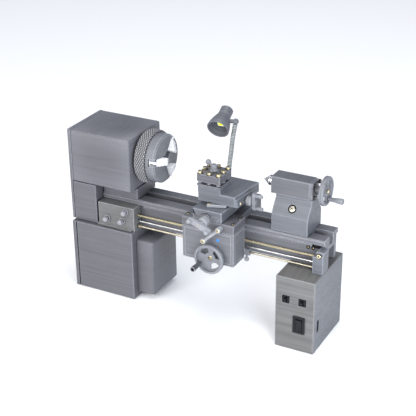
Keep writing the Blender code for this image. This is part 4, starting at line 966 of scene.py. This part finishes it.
def knurl_rings(solid):
    """The rows of points of the knurling. Every second point of a row stands up."""
    low, high = RING_X
    rings = []
    for row in range(KNURL_ROWS + 1):
        x = low + KNURL_MARGIN + (high - low - 2 * KNURL_MARGIN) * row / KNURL_ROWS
        ring = []
        for column in range(KNURL_COLUMNS):
            raised = (row + column) % 2 and 0 < row < KNURL_ROWS
            radius = RING_R if raised else RING_R - KNURL_DEPTH
            ring.append(solid.mesh.verts.new(ring_spot(x, radius, column)))
        rings.append(ring)
    return rings


def build_scroll_ring(m):
    """Diamond knurling: pyramids between two crossing families of grooves."""
    solid = Solid()
    rings = knurl_rings(solid)
    for row in range(KNURL_ROWS):
        for column in range(KNURL_COLUMNS):
            n = (column + 1) % KNURL_COLUMNS
            a, b, c, d = rings[row][column], rings[row][n], rings[row + 1][n], rings[row + 1][column]
            halves = ((a, b, c), (a, c, d)) if (row + column) % 2 == 0 else ((a, b, d), (b, c, d))
            for half in halves:
                solid.mesh.faces.new(half)
    ends = []
    for ring, x in ((rings[0], RING_X[0]), (rings[-1], RING_X[1])):
        before = ring
        for radius in (RING_R - RING_CHAMFER, RING_BORE):
            spots = [ring_spot(x, radius, column) for column in range(KNURL_COLUMNS)]
            after = [solid.mesh.verts.new(p) for p in spots]
            solid.join(before, after)
            before = after
        ends.append(before)
    solid.join(*ends)
    finishes, hidden = (m["knurl"],), ("chuck_scroll_ring",)
    add_piece("knurled_scroll_ring", solid, finishes, "scroll_ring", hidden, crease=12.0)


def oblong(low, high, inner, outer):
    """An outline in a jaw's own plane, from one depth and radius to another."""
    return (low, inner), (high, inner), (high, outer), (low, outer)


def jaw_slice(solid, outline, angle, start, width):
    """Pushes an outline of (stand-out from the chuck's face, radius) across a jaw's plane."""
    lean = math.radians(angle)
    out = Vector((0, math.cos(lean), math.sin(lean)))
    across = Vector((0, -math.sin(lean), math.cos(lean)))
    centre = Vector((0, *AXIS))
    spots = [centre + Vector((CHUCK_FACE + x, 0, 0)) + out * r + across * start for x, r in outline]
    solid.prism(spots, across * width)


def build_jaws(m):
    """Three stepped jaws with rounded noses, each on a tongue and a foot, and the cheeks of their slots."""
    tongue = oblong(-SLOT_DEPTH, 1.1, *JAW_SPAN)
    foot = oblong(-SLOT_DEPTH, -4.9, *JAW_SPAN)
    rim = CHUCK_R - 0.2
    cheek = ((-4.6, 7.2), (-0.05, 7.2), (-0.05, CHUCK_R - 1.5), (-1.4, rim), (-4.6, rim))
    cheeks = Solid()
    for number, angle in enumerate(JAW_ANGLES, 1):
        jaw = Solid()
        jaw_slice(jaw, JAW_STEPS, angle, -JAW_WIDTH / 2, JAW_WIDTH)
        jaw_slice(jaw, tongue, angle, -1.2, 2.4)
        jaw_slice(jaw, foot, angle, -3.0, 6.0)
        hidden = (f"chuck_jaw_{number}",)
        add_piece(f"jaw_face_{number}", jaw, (m["white"],), f"jaw_{number}", hidden, bevel=0.5)
        for start in (-3.45, 1.45):
            jaw_slice(cheeks, cheek, angle, start, 2.0)
    add_piece("chuck_slot_cheeks", cheeks, (m["chuck"],), "spindle", bevel=0.2)


# ---- guard, lever and apron ----


def build_guard_joint(m):
    """The strip between the gear guard and the headstock cover."""
    strip = Solid()
    strip.block(*GUARD_JOINT)
    add_piece("guard_joint", strip, (m["graphite"],), "frame")


def build_clamp_lever(m):
    """The square pale lever that locks the swivel."""
    lever = Solid()
    foot, tip = Vector(CLAMP_PATH[0]), Vector(CLAMP_PATH[1])
    ahead = (tip - foot).normalized()
    side = ahead.cross(Vector(UP))
    drop = Vector((0, 0, -CLAMP_THICKNESS / 2))
    outline = [foot - ahead * 1.8 + side * i * 1.7 + drop for i in (-1, 1)]
    outline += [tip + ahead * 1.2 + side * i * 1.45 + drop for i in (1, -1)]
    lever.prism(outline, (0, 0, CLAMP_THICKNESS))
    add_piece("swivel_clamp_lever", lever, (m["light"],), "swivel", bevel=0.35)


def build_apron_beads(m):
    """Thin raised frames on the apron's front and tail-side faces, in a paler grey that paints the highlight
    along them.
    """
    beads = Solid()
    x_low, x_high, z_low, z_high = APRON_FRAME
    front, side, rise, sink, half = SADDLE_FRONT, SADDLE_SIDE, 0.22, 0.3, 0.35
    for x in (x_low, x_high):
        beads.block((x - half, front - rise, z_low), (x + half, front + sink, z_high))
    for z in (z_low, z_high):
        beads.block((x_low, front - rise, z - half), (x_high, front + sink, z + half))
    y_low, y_high = front + 2.6, front + 20.4
    for y in (y_low, y_high):
        beads.block((side - sink, y - half, z_low), (side + rise, y + half, z_high))
    for z in (z_low, z_high):
        beads.block((side - sink, y_low, z - half), (side + rise, y_high, z + half))
    add_piece("apron_beads", beads, (m["bead"],), "carriage", bevel=0.1)


# ---- lamp ----


def curve_point(a, b, c, d, t):
    """The way t from b to c on a smooth curve that also passes a and d."""
    bend = (2 * a - 5 * b + 4 * c - d) * t * t + (3 * b - a - 3 * c + d) * t ** 3
    return 0.5 * ((2 * b) + (c - a) * t + bend)


def smooth_path(points, count, fineness=40):
    """Points evenly spread along a soft curve through the given ones."""
    spots = [Vector(p) for p in points]
    padded = [spots[0] * 2 - spots[1], *spots, spots[-1] * 2 - spots[-2]]
    fine = []
    for k in range(len(spots) - 1):
        fine += [curve_point(*padded[k:k + 4], step / fineness) for step in range(fineness)]
    fine.append(spots[-1])
    marks = [0.0]
    for k in range(1, len(fine)):
        marks.append(marks[-1] + (fine[k] - fine[k - 1]).length)
    out, at = [], 0
    for k in range(count):
        goal = marks[-1] * k / (count - 1)
        while at < len(marks) - 2 and marks[at + 1] < goal:
            at += 1
        share = (goal - marks[at]) / max(marks[at + 1] - marks[at], 1e-9)
        out.append(fine[at].lerp(fine[at + 1], min(1.0, share)))
    return out


def build_gooseneck(m):
    """A corrugated flexible neck with a collar at its foot."""
    count = len(RIB_SHAPE) * NECK_RIBS + 1
    path = smooth_path(NECK_PATH, count)
    radii = [NECK_R - RIB_DEPTH + RIB_SHAPE[k % len(RIB_SHAPE)] for k in range(count)]
    neck = Solid()
    neck.tube(path, radii, RIB_FINISHES, steps=18)
    neck.turned(NECK_FOOT, UP, ((2.6, 0.0, circle, 0), (2.6, 0.9, circle, 0), (2.2, 1.3, circle, 0)))
    finishes = (m["neck"], m["neck_groove"])
    add_piece("gooseneck", neck, finishes, "lamp_arm", ("lamp_neck",), crease=60.0)


def build_lamp_chip(m):
    """A square light chip on its round board, deep in the shade."""
    axis = Vector(SHADE_AXIS).normalized()
    across = axis.cross(Vector(UP)).normalized()
    up = across.cross(axis)
    seat = Vector(SHADE_RIM) + axis * BOARD_DEPTH
    chip = Solid()
    chip.turned(seat, -axis, ((3.8, 0.0, circle, 0), (3.8, 1.0, circle, 0), (3.6, 1.2, circle, 0)))
    square = ((-1, -1), (1, -1), (1, 1), (-1, 1))
    for half, finish, low, high in ((2.9, 1, 1.1, 1.5), (2.2, 2, 1.4, 1.62)):
        outline = [seat - axis * low + across * half * i + up * half * j for i, j in square]
        chip.prism(outline, -axis * (high - low), finish)
    finishes = (m["board"], m["chip_frame"], m["phosphor"])
    add_piece("lamp_chip", chip, finishes, "lamp_head", ("lamp_led",))


# ---- the whole scene ----

BUILDERS = (
    build_tool_post_screws, build_saddle_screws, build_clamp_screw, build_compound_screw,
    build_carriage_wheel_screw, build_cross_crank_screw, build_half_nut_rings, build_tailstock_screw,
    build_tail_wheel_screw, build_bed_end_screws, build_tailstock_bolts,
    build_bed_end_hole_shade, build_left_joint_shadows, build_post_screw_shadows, build_saddle_screw_shadows,
    build_knob_shade, build_tailstock_screw_shade, build_post_lever_cap, build_grip_mouth,
    build_apron_sight, build_scroll_ring, build_jaws, build_guard_joint, build_clamp_lever,
    build_apron_beads, build_gooseneck, build_lamp_chip,
)


def main():
    bpy.context.scene.view_settings.view_transform = "Standard"
    build_camera()
    build_light()
    build_floor()
    materials = build_materials()
    build_nodes(materials)
    for build in BUILDERS:
        build(materials)


main()
